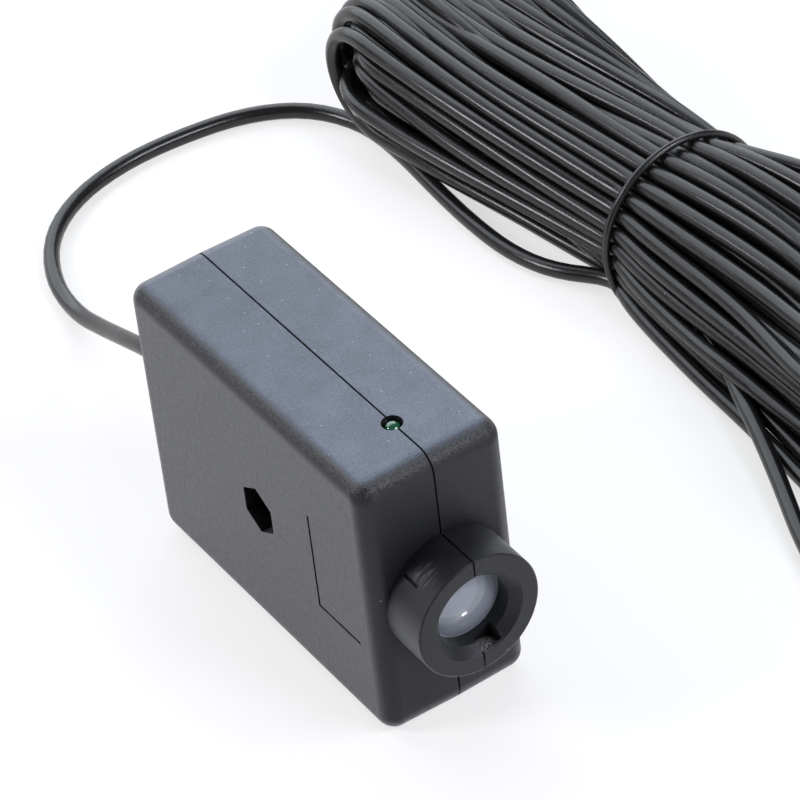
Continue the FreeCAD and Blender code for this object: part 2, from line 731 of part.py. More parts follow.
def detector_leads():
    """Two leads from the detector's back to the board."""
    leads = []
    for index, side in enumerate((-1, 1)):
        lead_z = axis_z + cell("lead_pitch") * (side / 2)
        start = (as_size(0.0), detector_back_y, lead_z)
        corner = (as_size(0.0), detector_turn_y, lead_z)
        end = (cell("board_face"), detector_turn_y, lead_z)
        leads.append(bent_lead(f"detector_lead{index}", start, corner, end, cell("lead_width")))
    return group("detector_leads", leads)


# Circuit board and what is soldered to it

def circuit_board():
    """A plain board with holes for its two screws."""
    plate = box(
        "board_plate",
        (cell("board_face"), board_front_y, cell("board_base")),
        (board_back_x, board_rear_y, board_top_z),
    )
    holes = []
    radius = cell("board_screw_radius") + cell("loose_fit")
    length = cell("board_thickness") + 2 * CUT_MARGIN
    start_x = cell("board_face") - CUT_MARGIN
    for index, (y, z) in enumerate(screwed_posts):
        holes.append(cylinder(f"board_hole{index}", radius, length, start_x, y, z, "+x"))
    return cut("circuit_board", plate, fuse("board_holes", holes))


def tapping_screw(name, radius, head_radius, head_height, length, x, y, z):
    """A pan head screw with a cross slot; its head's seat is at x and its shank runs along -X."""
    shank = cylinder(f"{name}_shank", radius, length, x, y, z, "-x")
    head = cylinder(f"{name}_head", head_radius, head_height, x, y, z, "+x")
    solid = fuse(f"{name}_solid", [head, shank])
    half = cell("slot_width") / 2
    reach = cell("slot_reach")
    top = x + head_height
    low = top - cell("slot_depth")
    high = top + CUT_MARGIN
    upright = box(f"{name}_upright", (low, y - half, z - reach), (high, y + half, z + reach))
    level = box(f"{name}_level", (low, y - reach, z - half), (high, y + reach, z + half))
    return cut(name, solid, fuse(f"{name}_cross", [upright, level]))


def shell_screws():
    """Two screws that go in from the right face and close the shells."""
    seat_x = half_thickness - cell("shell_screw_recess")
    length = seat_x + cell("shell_screw_grip")
    screws = []
    for index, height in enumerate(screw_heights):
        screws.append(tapping_screw(
            f"shell_screw{index}", cell("shell_screw_radius"), cell("shell_screw_head"),
            cell("shell_screw_head_height"), length, seat_x, screw_y, height,
        ))
    return group("shell_screws", screws)


def board_screws():
    """Two screws that hold the board to its posts, heads on the component side."""
    x = cell("board_face")
    radius = cell("board_screw_radius")
    length = cell("board_thickness") + cell("board_screw_grip")
    head_radius = cell("board_screw_head")
    screws = []
    for index, (y, z) in enumerate(screwed_posts):
        name = f"board_screw{index}"
        shank = cylinder(f"{name}_shank", radius, length, x, y, z, "+x")
        head = cylinder(f"{name}_head", head_radius, cell("board_screw_head_height"), x, y, z, "-x")
        screws.append(fuse(name, [shank, head]))
    return group("board_screws", screws)


chip_y = (board_front_y + board_rear_y) / 2
chip_z = cell("board_base") + cell("chip_width") / 2 + cell("post_inset") * 2
chip_low_x = cell("board_face") - cell("chip_standoff")


def amplifier_chip():
    """A dual in-line chip low on the board."""
    half_length = cell("chip_length") / 2
    half_width = cell("chip_width") / 2
    return box(
        "amplifier_chip",
        (chip_low_x - cell("chip_height"), chip_y - half_length, chip_z - half_width),
        (chip_low_x, chip_y + half_length, chip_z + half_width),
    )


def chip_legs():
    """Four legs on each long side of the chip."""
    legs = []
    mid_x = chip_low_x - cell("chip_height") / 2
    end_x = cell("board_face")
    width = cell("lead_width")
    upper_z = chip_z + cell("chip_width") / 2
    lower_z = chip_z - cell("chip_width") / 2 - width
    for row, low_z in (("upper", upper_z), ("lower", lower_z)):
        for step in (-1.5, -0.5, 0.5, 1.5):
            leg_y = chip_y + cell("chip_pitch") * step - width / 2
            name = f"chip_leg_{row}{len(legs)}"
            legs.append(box(name, (mid_x, leg_y, low_z), (end_x, leg_y + width, low_z + width)))
    return group("chip_legs", legs)


def smoothing_capacitor():
    """A round can that stands on the board below the upper rear post."""
    radius = cell("can_radius")
    y = board_rear_y - radius - cell("board_margin")
    z = post_high_z - cell("post_radius") - radius - cell("part_gap")
    return cylinder("smoothing_capacitor", radius, cell("can_length"), cell("board_face"), y, z, "-x")


def ceramic_capacitors():
    """Two small discs that stand on their wires in front of the chip, one above the other."""
    discs = []
    radius = cell("disc_radius")
    thickness = cell("disc_thickness")
    reach = cell("part_height") + radius
    x = cell("board_face") - reach
    y = chip_y - cell("chip_length") / 2 - radius - cell("part_gap")
    for index, side in enumerate((-1, 1)):
        z = chip_z + thickness * side
        pieces = [cylinder(f"disc{index}", radius, thickness, x, y, z - thickness / 2)]
        for end in (-1, 1):
            wire_y = y + cell("disc_wire_pitch") * (end / 2)
            name = f"disc{index}_wire{len(pieces)}"
            pieces.append(cylinder(name, cell("wire_radius"), reach, x, wire_y, z, "+x"))
        discs.append(fuse(f"ceramic_capacitor{index}", pieces))
    return group("ceramic_capacitors", discs)


def axial_part(name, y, z):
    """A small round body along Z on two bent wires."""
    wire = cell("wire_radius")
    rise = cell("part_height")
    x = cell("board_face") - rise
    low_z = z - cell("resistor_span") / 2
    high_z = z + cell("resistor_span") / 2
    length = cell("resistor_length")
    pieces = [cylinder(f"{name}_body", cell("resistor_radius"), length, x, y, z - length / 2)]
    pieces.append(cylinder(f"{name}_wire", wire, cell("resistor_span"), x, y, low_z))
    for end, end_z in (("low", low_z), ("high", high_z)):
        pieces.append(cylinder(f"{name}_{end}_leg", wire, rise, x, y, end_z, "+x"))
        pieces.append(ball(f"{name}_{end}_bend", wire, x, y, end_z))
    return fuse(name, pieces)


small_part_pitch = cell("resistor_radius") * 2 + cell("part_gap")
small_part_z = post_high_z - cell("post_radius") - cell("resistor_span") / 2 - cell("part_gap")


def resistors():
    """Three resistors side by side below the upper front post."""
    rows = []
    first_y = board_front_y + cell("board_margin") + cell("resistor_radius")
    for index in range(3):
        rows.append(axial_part(f"resistor{index}", first_y + small_part_pitch * index, small_part_z))
    return group("resistors", rows)


def protection_diodes():
    """Two diodes behind the chip, near the place where the cord's cores are soldered."""
    rows = []
    first_y = chip_y + cell("chip_length") / 2 + cell("part_gap") + cell("resistor_radius")
    for index in range(2):
        rows.append(axial_part(f"diode{index}", first_y + small_part_pitch * index, chip_z))
    return group("protection_diodes", rows)


def output_transistor():
    """A half-round body on three wires under the lamp leads."""
    y = chip_y
    z = small_part_z
    top_x = cell("board_face") - cell("part_height")
    can = cylinder("transistor_can", cell("transistor_radius"), cell("transistor_height"), top_x, y, z, "-x")
    reach = cell("transistor_radius") + CUT_MARGIN
    flat = box(
        "transistor_side",
        (top_x - cell("transistor_height") - CUT_MARGIN, y - reach, z + cell("transistor_flat")),
        (top_x + CUT_MARGIN, y + reach, z + reach),
    )
    body = cut("transistor_body", can, flat)
    wires = []
    for step in (-1, 0, 1):
        wire_y = y + cell("lead_pitch") * (step / 2)
        name = f"transistor_wire{len(wires)}"
        wires.append(cylinder(name, cell("wire_radius"), cell("part_height"), top_x, wire_y, z, "+x"))
    return fuse("output_transistor", [body] + wires)


# Cord

# Points of the free cord from the rear wall to the hank; the first run leaves straight along +Y
CORD_ROUTE = [
    (0.0, 48.6, 18.0),
    (0.3, 59.4, 15.9),
    (1.0, 70.4, 11.4),
    (2.2, 81.5, 6.2),
    (2.9, 92.8, 1.9),
    (4.4, 103.5, 1.5),
    (10.2, 114.6, 1.5),
    (20.0, 122.0, 1.5),
    (32.5, 125.2, 1.5),
    (45.5, 124.8, 1.5),
    (58.0, 122.3, 1.5),
    (67.6, 115.8, 1.5),
    (72.6, 105.0, 1.5),
    (72.6, 92.5, 1.5),
    (71.4, 80.5, 1.5),
    (70.7, 68.5, 1.5),
    (71.0, 57.0, 1.6),
    (74.4, 46.6, 2.2),
    (81.0, 40.4, 4.6),
]

# Outline of the hank: place along Y, foot from left to right, widest left and right, underside, shoulder and top
TIE_Y = 37.4
TIE_OUTLINE = (81.1, 108.1, 78.7, 110.5, 1.6, 9.0, 24.8)
TIE_BAND = 0.9  # half the length of hank that keeps the tie's outline
HANK_SECTIONS = [
    (125.5, 95.0, 106.0, 93.5, 107.5, 6.5, 14.0, 20.0),
    (122.0, 86.0, 108.0, 84.5, 109.0, 3.3, 13.0, 24.5),
    (117.0, 78.0, 108.5, 76.0, 109.4, 1.5, 15.0, 26.0),
    (112.0, 77.0, 108.5, 70.0, 109.5, 0.0, 16.0, 26.5),
    (104.0, 76.5, 108.5, 68.8, 109.5, 0.0, 17.0, 26.5),
    (88.0, 76.5, 109.0, 69.2, 109.8, 0.0, 17.0, 26.3),
    (70.0, 75.5, 109.5, 71.3, 110.5, 0.0, 16.0, 26.0),
    (52.0, 76.8, 110.5, 75.0, 111.3, 0.4, 13.0, 26.0),
    (TIE_Y + TIE_BAND, *TIE_OUTLINE),
    (TIE_Y - TIE_BAND, *TIE_OUTLINE),
    (22.0, 77.8, 114.0, 77.0, 117.0, 0.0, 10.0, 25.5),
    (2.0, 75.5, 121.0, 74.5, 125.0, 0.0, 11.0, 23.5),
    (-18.0, 73.0, 123.0, 72.0, 127.5, 0.0, 11.0, 22.5),
    (-38.0, 71.0, 125.0, 70.5, 128.0, 0.0, 11.0, 22.0),
    (-50.0, 76.0, 118.0, 75.0, 120.0, 2.0, 9.0, 16.0),
]
TIE_CORNER = 3.0
TAIL_PLACES = (90.9, 92.1)  # where the two cores leave the hank's far end, along X
TAIL_HEIGHT = 3.0


def cord_wire(points):
    """Straight runs joined by tangent arcs, each as large as its two runs allow; returns wire and radii."""
    edges = []
    radii = []
    last = points[0]
    for before, corner, after in zip(points, points[1:], points[2:]):
        back = (before - corner).normalize()
        ahead = (after - corner).normalize()
        half_turn = (math.pi - back.getAngle(ahead)) / 2
        tangent = ARC_SHARE * min((before - corner).Length, (after - corner).Length)
        radius = tangent / math.tan(half_turn)
        start = corner + back * tangent
        end = corner + ahead * tangent
        inward = (back + ahead).normalize()
        middle = corner + inward * (radius / math.cos(half_turn) - radius)
        edges.append(Part.LineSegment(last, start).toShape())
        edges.append(Part.Arc(start, middle, end).toShape())
        radii.append(radius)
        last = end
    edges.append(Part.LineSegment(last, points[-1]).toShape())
    return Part.Wire(edges), radii


def swept_rod(path, radius):
    """A round rod along a wire, checked against its section times its length."""
    start = path.Edges[0]
    direction = start.tangentAt(start.FirstParameter)
    section = Part.Wire(Part.makeCircle(radius, start.valueAt(start.FirstParameter), direction))
    rod = path.makePipeShell([section], True, True)
    expected = math.pi * radius ** 2 * path.Length
    if abs(rod.Volume - expected) > VOLUME_TOLERANCE * expected:
        raise RuntimeError(f"rod volume {rod.Volume:.1f}, expected {expected:.1f}")
    return rod


def hank_arch(y, left, right, shoulder, top):
    """Upper half of an ellipse from the right shoulder over the top to the left shoulder."""
    centre = Vector((left + right) / 2, y, shoulder)
    ellipse = Part.Ellipse(Vector(right, y, shoulder), Vector(centre.x, y, top), centre)
    return Part.ArcOfEllipse(ellipse, 0, math.pi)


def hank_section(y, foot_left, foot_right, left, right, low, shoulder, top):
    """A bundle of strands: flat below, widest at its shoulders and arched above."""
    corners = [
        Vector(left, y, shoulder),
        Vector(foot_left, y, low),
        Vector(foot_right, y, low),
        Vector(right, y, shoulder),
    ]
    edges = [Part.LineSegment(start, end) for start, end in zip(corners, corners[1:])]
    edges.append(hank_arch(y, left, right, shoulder, top))
    return Part.Wire([edge.toShape() for edge in edges])


def tie_loop(grow):
    """The line of the tie round its section of the hank, with rounded lower corners."""
    y = TIE_Y
    left, right, low, shoulder, top = TIE_OUTLINE[2:]
    left, right, low, top = left - grow, right + grow, low - grow, top + grow
    bend = TIE_CORNER * (1 - math.sqrt(0.5))
    foot = low + TIE_CORNER
    left_side = Part.LineSegment(Vector(left, y, shoulder), Vector(left, y, foot))
    left_corner = Part.Arc(
        Vector(left, y, foot),
        Vector(left + bend, y, low + bend),
        Vector(left + TIE_CORNER, y, low),
    )
    base = Part.LineSegment(Vector(left + TIE_CORNER, y, low), Vector(right - TIE_CORNER, y, low))
    right_corner = Part.Arc(
        Vector(right - TIE_CORNER, y, low),
        Vector(right - bend, y, low + bend),
        Vector(right, y, foot),
    )
    right_side = Part.LineSegment(Vector(right, y, foot), Vector(right, y, shoulder))
    edges = [left_side, left_corner, base, right_corner, right_side, hank_arch(y, left, right, shoulder, top)]
    return Part.Wire([edge.toShape() for edge in edges])


def feature(name, shape):
    item = doc.addObject("Part::Feature", name)
    item.Shape = shape
    return item


def cord_pieces():
    """Sheathed end inside the housing, free cord, hank and tie."""
    radius = cell("cord_radius").number
    exit_point = Vector(0, rear_y.number, cord_z.number)
    stub = cylinder("cord_end", cell("cord_radius"), cell("stub_length"), 0.0, rear_y, cord_z, "-y")

    hank_shape = Part.makeLoft([hank_section(*row) for row in HANK_SECTIONS], True, True)
    path, radii = cord_wire([exit_point] + [Vector(*point) for point in CORD_ROUTE])
    print("cord length", round(path.Length, 1), "radii", [round(item, 1) for item in radii])
    rod = swept_rod(path, radius)
    free_cord = feature("free_cord", rod.cut(hank_shape))
    hank = feature("cord_hank", hank_shape)

    # The tie follows its section of the hank at a small distance
    tie_radius = cell("tie_radius").number
    loop = tie_loop(tie_radius + cell("tie_clearance").number)
    tie = feature("hank_tie", swept_rod(loop, tie_radius))

    return [stub, free_cord, hank, tie]


def inner_cores():
    """Two cores from the sheath's end under the bolt boss to the board's lower rear corner."""
    radius = cell("core_radius").number
    sheath_y = rear_y.number - cell("stub_length").number
    lead_y = sheath_y - cell("core_lead").number
    solder_y = board_rear_y.number - cell("solder_inset").number
    solder_z = cell("board_base").number + cell("solder_height").number
    face_x = cell("board_face").number
    rise_x = face_x - cell("core_rise").number
    cores = []
    for name, side in (("lower_core", -1), ("upper_core", 1)):
        z = cord_z.number + side * (radius + cell("core_gap").number / 2)
        end_z = solder_z + side * cell("solder_pitch").number / 2
        points = [
            Vector(0, sheath_y, z),
            Vector(0, lead_y, z),
            Vector(-radius, bolt_y.number, (z + end_z) / 2 - cell("core_slack").number),
            Vector(radius, solder_y + cell("core_rise").number, end_z),
            Vector(rise_x, solder_y, end_z),
            Vector(face_x, solder_y, end_z),
        ]
        path, _ = cord_wire(points)
        cores.append(feature(name, swept_rod(path, radius)))
    return group("inner_cores", cores)


def stripped_end():
    """Two cores that leave the hank's far end, and their bare tips."""
    tails = []
    tips = []
    far_y = as_size(HANK_SECTIONS[-1][0])
    tip_y = far_y - cell("tail_length")
    for index, x in enumerate(TAIL_PLACES):
        tail = cylinder(f"tail{index}", cell("core_radius"), cell("tail_length"), x, far_y, TAIL_HEIGHT, "-y")
        tip = cylinder(f"tip{index}", cell("strand_radius"), cell("tail_bare"), x, tip_y, TAIL_HEIGHT, "-y")
        tails.append(tail)
        tips.append(tip)
    return [group("core_tails", tails), group("core_tips", tips)]


def check(items):
    """Stop before anything is written if a feature failed or a shape is missing or broken."""
    for item in doc.Objects:
        if any(word in item.State for word in ("Invalid", "Error")):
            raise RuntimeError(f"{item.Name}: {item.State}")
    for item in items:
        if item.Shape.isNull() or not item.Shape.isValid() or not item.Shape.Solids:
            raise RuntimeError(f"{item.Label}: no valid solid")


def main():
    items = [shell_body("left_shell", -1), shell_body("right_shell", +1)]
    items += [lens(), lens_seal(), indicator_lamp(), lamp_leads()]
    items += [detector(), detector_hood(), detector_leads()]
    items += [circuit_board(), board_screws(), shell_screws()]
    items += [amplifier_chip(), chip_legs(), smoothing_capacitor(), ceramic_capacitors()]
    items += [resistors(), protection_diodes(), output_transistor()]
    items += cord_pieces()
    items += [inner_cores()]
    items += stripped_end()
    doc.recompute()
    check(items)
    os.makedirs("parts", exist_ok=True)
    for item in items:
        item.Shape.exportStep(os.path.join("parts", f"{item.Label}.step"))
        print(f"{item.Label}: {len(item.Shape.Solids)} solids, {item.Shape.Volume:.1f} mm3")


main()
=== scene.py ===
"""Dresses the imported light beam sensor: its cord and hank, its materials, and a pale studio stage."""

import math

import bpy
import numpy as np
from mathutils import Matrix, Vector


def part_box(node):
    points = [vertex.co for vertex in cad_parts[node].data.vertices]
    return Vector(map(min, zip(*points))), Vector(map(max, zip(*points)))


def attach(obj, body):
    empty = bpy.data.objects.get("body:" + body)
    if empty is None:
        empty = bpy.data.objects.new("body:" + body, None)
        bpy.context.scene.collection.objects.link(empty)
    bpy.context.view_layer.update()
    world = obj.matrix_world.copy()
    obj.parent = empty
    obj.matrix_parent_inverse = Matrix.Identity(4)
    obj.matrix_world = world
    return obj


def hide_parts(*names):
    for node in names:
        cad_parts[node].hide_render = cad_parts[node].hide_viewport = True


bl_info = {
    "name": "Light Beam Sensor",
    "version": (1, 0, 0),
    "blender": (4, 5, 0),
    "location": "3D View > Sidebar > Sensor",
    "description": "Cord, materials and stage for a light beam sensor",
    "category": "Object",
}

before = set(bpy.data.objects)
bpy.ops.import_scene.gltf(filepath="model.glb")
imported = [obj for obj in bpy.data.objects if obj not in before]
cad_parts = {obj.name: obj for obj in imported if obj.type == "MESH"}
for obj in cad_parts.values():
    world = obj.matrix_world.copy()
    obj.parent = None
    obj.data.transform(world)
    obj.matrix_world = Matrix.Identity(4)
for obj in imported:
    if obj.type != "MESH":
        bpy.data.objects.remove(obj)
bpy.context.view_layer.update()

MM = 0.001

# Cord, hank and tie: millimetres, with X across the hank, Y along it and Z up

# route of the lead from the housing to the hank, and its first point that lies beside the hank
LEAD_ROUTE = [
    (0.0, 38.475, 18.0), (0.0, 48.6, 18.0), (0.3, 59.4, 15.9), (1.0, 70.4, 11.4), (2.2, 81.5, 6.2),
    (2.9, 92.8, 1.9), (4.4, 103.5, 1.5), (10.2, 114.6, 1.5), (20.0, 122.0, 1.5), (32.5, 125.2, 1.5),
    (45.5, 124.8, 1.5), (58.0, 122.3, 1.5), (67.6, 115.8, 1.5), (72.6, 105.0, 1.5), (72.6, 92.5, 1.5),
    (71.4, 80.5, 1.5), (70.7, 68.5, 1.5), (71.0, 57.0, 1.6), (73.6, 47.0, 2.0),
]
LEAD_BESIDE = 13

# the tie is an arch: its place along the hank, its middle, inner radius and the height of its centre,
# and how far its wire lifts the lowest strands off the floor
TIE_Y = 37.4
TIE_X = 94.6
TIE_RADIUS = 15.7
TIE_CENTRE = 9.0
TIE_LIFT = 1.1

# gaps between the tie's wire and the strands, and between the wire and the floor
TIE_GAP = 0.1
FLOOR_GAP = 0.05

# distance from the tie up to which it pinches the hank fully, over which the pinch then fades, and how much
# wider the arch is in the end
PINCH_REACH = 2.0
PINCH_FADE = 10.0
PINCH_SLACK = 6.0

# where along the hank the lead becomes the first lower strand
LEAD_END = TIE_Y + 1.0

# stops along the hank at which the places of the strands are chosen, and the step between the stations
# at which they are then settled
STOPS = ("far", "tie", "fan", "near")
FAR_STATION = 98.0
FAN_STATION = 2.0
NEAR_STATION = -40.0
STATION_STEP = 6.0

# rows of strands at the stops: first place across, step to the next column, height
OUTER_ROWS = {
    "far_upper": (70.8, 3.35, 24.4),
    "tie_lower": (80.6, 2.8, 2.8),
    "fan_lower": (77.2, 4.4, 1.5),
    "near_lower": (72.7, 5.0, 1.5),
}
INNER_ROWS = {
    "far_upper": (73.0, 3.3, 21.9),
    "far_lower": (77.4, 3.05, 4.1),
    "tie_lower": (81.1, 2.7, 5.6),
    "fan_lower": (79.4, 4.2, 4.0),
    "near_upper": (75.5, 4.9, 18.5),
    "near_lower": (75.2, 4.8, 1.6),
}

# lower outer strands at the far end: the first columns are stepped, with a rise for each, and the rest
# lie flat
STEPPED_COLUMNS = 3
STEPPED_ROW = (66.8, 4.2, 5.8, -0.8)
FLAT_ROW = (76.0, 4.2, 1.5)

# upper outer strands where they fan out, and at the near end: places across and up
FAN_UPPER = [
    (85.2, 14.4), (88.3, 17.0), (91.6, 19.0), (95.2, 20.4), (99.2, 21.2), (103.8, 21.6), (110.0, 21.3),
    (120.0, 19.0), (122.0, 15.5), (123.0, 12.0), (123.2, 8.5),
]
NEAR_UPPER = [
    (78.0, 17.0), (82.0, 18.0), (86.0, 19.0), (90.0, 19.5), (94.5, 20.0), (99.5, 20.4), (105.0, 20.4),
    (113.0, 20.0), (118.0, 19.5), (122.0, 19.0), (125.0, 18.5),
]

# upper inner strands where they fan out: first place across, step, and depth below the outer strand
INNER_FAN = (86.5, 3.5, 3.4)

# flat turns in the middle of the hank, two on each level: place across, its step for a level and for the
# second turn of a level, height, and its step for a level
CORE_ROWS = {
    "far_upper": (69.0, 1.6, 3.1, 11.6, 3.9),
    "far_lower": (92.2, 1.6, 3.1, 10.0, 3.2),
    "tie_lower": (98.5, 0.0, 3.1, 9.0, 3.1),
    "fan_lower": (107.0, 0.0, -3.1, 7.5, 3.1),
    "near_upper": (80.0, 0.0, 4.5, 7.0, 3.0),
    "near_lower": (112.0, 0.0, -4.5, 7.0, 3.0),
}

# and rows that differ for the first and the second turn of a level
CORE_FIRST = {"fan_upper": (77.8, 2.2, 0.0, 5.2, 3.2)}
CORE_SECOND = {"tie_upper": (89.5, 0.0, 0.0, 9.0, 3.1), "fan_upper": (90.0, 0.0, 0.0, 7.5, 3.1)}

# the strand that ends in the bare cores, and the points past its near end
LAST_STRAND = {"far": (97.0, 8.0), "tie": (95.0, 8.3), "fan": (95.0, 5.0), "near": (91.5, 2.0)}
BARE_END = [(91.5, -46.5, 2.6), (91.5, -50.5, 3.0)]

# columns whose inner strand comes up between the outer ones under the tie, and depths under the tie of the
# strands that touch it and of the next ones
RAISED = (4, 6, 8)
TOUCHING_DEPTH = 1.6
SECOND_DEPTH = 4.6

# the strands that touch the tie: angle of the first one and of the sweep to the last, in half turns
RING_START = 1.06
RING_SWEEP = 1.12

# how much sooner than at the far station the strands reach their places there
FAR_EASE = 1.2

# the lower strand of this turn strays to the front past its neighbours: from where along the hank, its line
# as places along, across and up, and the wide loop that brings it back
STRAY_TURN = 3
STRAY_FROM = 30.0
STRAY_LINE = [
    (37.4, 85.0, 6.0), (9.1, 80.3, 6.0), (1.6, 78.9, 5.0), (-9.4, 75.4, 4.6), (-18.8, 71.8, 3.0),
    (-33.6, 65.0, 1.6), (-40.0, 62.0, 1.5),
]
STRAY_LOOP = [
    (59.5, -49.0, 1.6), (61.0, -57.0, 1.8), (67.5, -62.0, 3.0), (76.0, -61.0, 6.5), (83.0, -55.5, 12.0),
    (87.0, -48.0, 17.0),
]

# how far strands spring outward past the tie, how far from it they do so most, and the radius inside which
# they do so less
SWELL = 3.4
SWELL_REACH = 9.0
SWELL_CORE = 6.0

# distance from the tie up to which strands don't wander, and over which they then begin to
WANDER_STILL = 6.0
WANDER_GROWS = 30.0

# fewest and most waves along a wandering strand
WANDER_WAVES = (0.8, 1.8)

# settling: how fast a strand is straightened, drawn to its first place, pushed off others and off the lead,
# the distance between two strands in diameters, and the number of rounds
STRAIGHTEN = 0.2
DRAW_BACK = 0.03
PUSH_OFF = 0.35
PUSH_OFF_LEAD = 0.5
BESIDE = 1.01
ROUNDS = 600

# folds: the least distance between the two strands that one joins, how the parting fades along them, the
# number of points with both ends, and the least distance from a strand's end to its next point
FOLD_WIDTH = 19.8
FOLD_FADE = (1.0, 0.85, 0.6, 0.35, 0.15, 0.05)
FOLD_POINTS = 8
END_ROOM = 3.0

# where folds begin at the far end: a place across, the place along the hank there, its shift for each
# millimetre across, and how much it varies; the core's folds begin between two places of their own
FAR_FOLD_X = 70.0
FAR_FOLD = 101.0
FAR_SLANT = 0.36
FAR_SPREAD = 1.5
CORE_FAR_FOLD = (98.05, 98.6)

# how far past the last station folds begin at the near end, at most
NEAR_SPREAD = 6.0

HANK_SEED = 7

# Marks, painted sheen, painted highlights and painted shade on the housing and the lens: metres, from the
# frame

HOUSING_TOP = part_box("left_shell")[1][2]
LENS_LOW, LENS_HIGH = (Vector(corner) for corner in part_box("lens"))
LENS_MIDDLE = (LENS_LOW + LENS_HIGH) / 2
LENS_FRONT = Vector((LENS_MIDDLE.x, LENS_LOW.y, LENS_MIDDLE.z))

# heights between which the housing's top begins, and places along Y between which the painted sheen on it, a
# painted bluish reflection mixed with fine dust, grows brighter
TOP_BEGINS = (HOUSING_TOP - 10.0 * MM, HOUSING_TOP - 6.0 * MM)
TOP_SHEEN_GROWS = (25.0 * MM, -35.0 * MM)

# height of the rough floor of the notch in the barrel
NOTCH_FLOOR = LENS_FRONT.z - 8.21 * MM

# middle and edge of the scuffed patch on the barrel, of the painted disc that stands in for the bore seen
# through the lens, and of the gloss on the lens: an edge is two distances from the middle
SCUFFS = LENS_FRONT + Vector((-6.3, 1.17, 9.24)) * MM
SCUFFS_EDGE = (1.2 * MM, 2.6 * MM)
LENS_PAINTED_DISC = LENS_FRONT + Vector((-2.4, -0.03, 3.94)) * MM
LENS_PAINTED_DISC_EDGE = (4.7 * MM, 5.0 * MM)
LENS_GLOSS = LENS_FRONT + Vector((-1.1, 0.07, -1.56)) * MM
LENS_GLOSS_EDGE = (1.1 * MM, 1.5 * MM)

# places along Y between which the lens's painted rim highlight begins
LENS_RIM_HIGHLIGHT = (LENS_FRONT.y + 1.12 * MM, LENS_FRONT.y + 1.27 * MM)

# how the lens's rear face, seen from the front, bends its gloss: shares of the front's normal, and a tilt
LENS_HOLLOW = (-2.5, 1.0, -2.5)
LENS_TILT = (-0.144, 0.0, 0.28)

# distance within which nearby walls paint shade into the housing's grooves, pockets and bore, and take gloss
# out of them
SHADE_REACH = 10.0 * MM

# colours of the marks, of the painted highlights and of the painted shade
# rubbed wear and a painted grainy highlight on the top's rounded edges
RUBBED_HIGHLIGHT_GREY = (0.062, 0.059, 0.055)
# torn grain on the notch floor, painted paler as light falling on it
TORN_AND_LIT_GREY = (0.3, 0.3, 0.29)
SCUFF_GREY = (0.16, 0.16, 0.165)
DUST_GREY = (0.55, 0.55, 0.56)
# painted shade: the colour that deep grooves, pockets and the bore darken towards
PAINTED_SHADE_BLACK = (0.002, 0.002, 0.0022)
CORD_DUST_GREY = (0.5, 0.5, 0.5)
TRACE_GREEN = (0.06, 0.26, 0.1)

# Moulded pieces with a plain finish: material, colour, roughness, size and depth of the grain, nodes
OPTICS_PLASTICS = [
    ("seal_rubber", (0.02, 0.02, 0.02), 0.7, 0.0004, 0.00002, ("lens_seal",)),
    ("detector_dark", (0.03, 0.02, 0.03), 0.15, 0.002, 0.00001, ("detector",)),
]
BOARD_PLASTICS = [
    ("chip_black", (0.03, 0.03, 0.03), 0.55, 0.0002, 0.00003, ("amplifier_chip", "output_transistor")),
    ("capacitor_blue", (0.03, 0.05, 0.2), 0.3, 0.001, 0.00001, ("smoothing_capacitor",)),
    ("ceramic_tan", (0.5, 0.28, 0.1), 0.45, 0.0008, 0.00003, ("ceramic_capacitors",)),
    ("resistor_beige", (0.6, 0.45, 0.28), 0.4, 0.0006, 0.00002, ("resistors",)),
    ("diode_black", (0.03, 0.03, 0.03), 0.25, 0.0006, 0.00001, ("protection_diodes",)),
    ("core_white", (0.8, 0.8, 0.78), 0.4, 0.0006, 0.00001, ("inner_cores",)),
]
CORD_PLASTICS = [
    ("tail_white", (0.8, 0.8, 0.78), 0.4, 0.0006, 0.00001, ("core_tails",)),
]

# Stage, in metres

# lamps: name, place, what they aim at, width, height, power in watts, colour
LAMPS = [
    ("sky", (0.246, 1.156, 0.924), (0.05, 0.03, 0.03), 2.4, 1.5, 30.0, (0.88, 0.94, 1.0)),
    ("key", (-0.6, 0.27, 0.47), (0.05, 0.03, 0.03), 0.22, 0.22, 3.0, (0.98, 0.93, 1.0)),
    ("front_left", (0.234, -0.576, 0.65), (0.0, -0.02, 0.03), 0.2, 0.2, 2.5, (0.9, 0.92, 1.0)),
    ("front_right", (0.45, -0.54, 0.56), (0.0, -0.02, 0.03), 0.2, 0.2, 2.5, (0.9, 0.92, 1.0)),
    ("low_front", (0.4, -1.13, 0.1), (0.0, -0.036, 0.025), 0.26, 0.14, 1.4, (1.0, 1.0, 1.0)),
]

# the floor's width, the distances from its middle between which its glow grows, and the glow beyond them
FLOOR_WIDTH = 6.0
FLOOR_GLOW_GROWS = (0.5, 1.5)
FLOOR_FAR_GLOW = 0.95

# sines of the angles above the horizon between which the white band there begins, coming down
HORIZON_BAND = (0.2, 0.1)

# the camera's place in millimetres, the directions of its right and upper side, and its sensor's width in
# millimetres
CAMERA_PLACE = (-280.59, -514.895, 537.55)
CAMERA_RIGHT = (0.8227, -0.5605, -0.0947)
CAMERA_UP = (0.4245, 0.495, 0.7582)
SENSOR_WIDTH = 36.0

# the least distance that the camera shows, in metres
CLIP_START = 0.01


def smooth(value):
    """Ease from 0 to 1."""
    value = np.clip(value, 0.0, 1.0)
    return value * value * (3.0 - 2.0 * value)


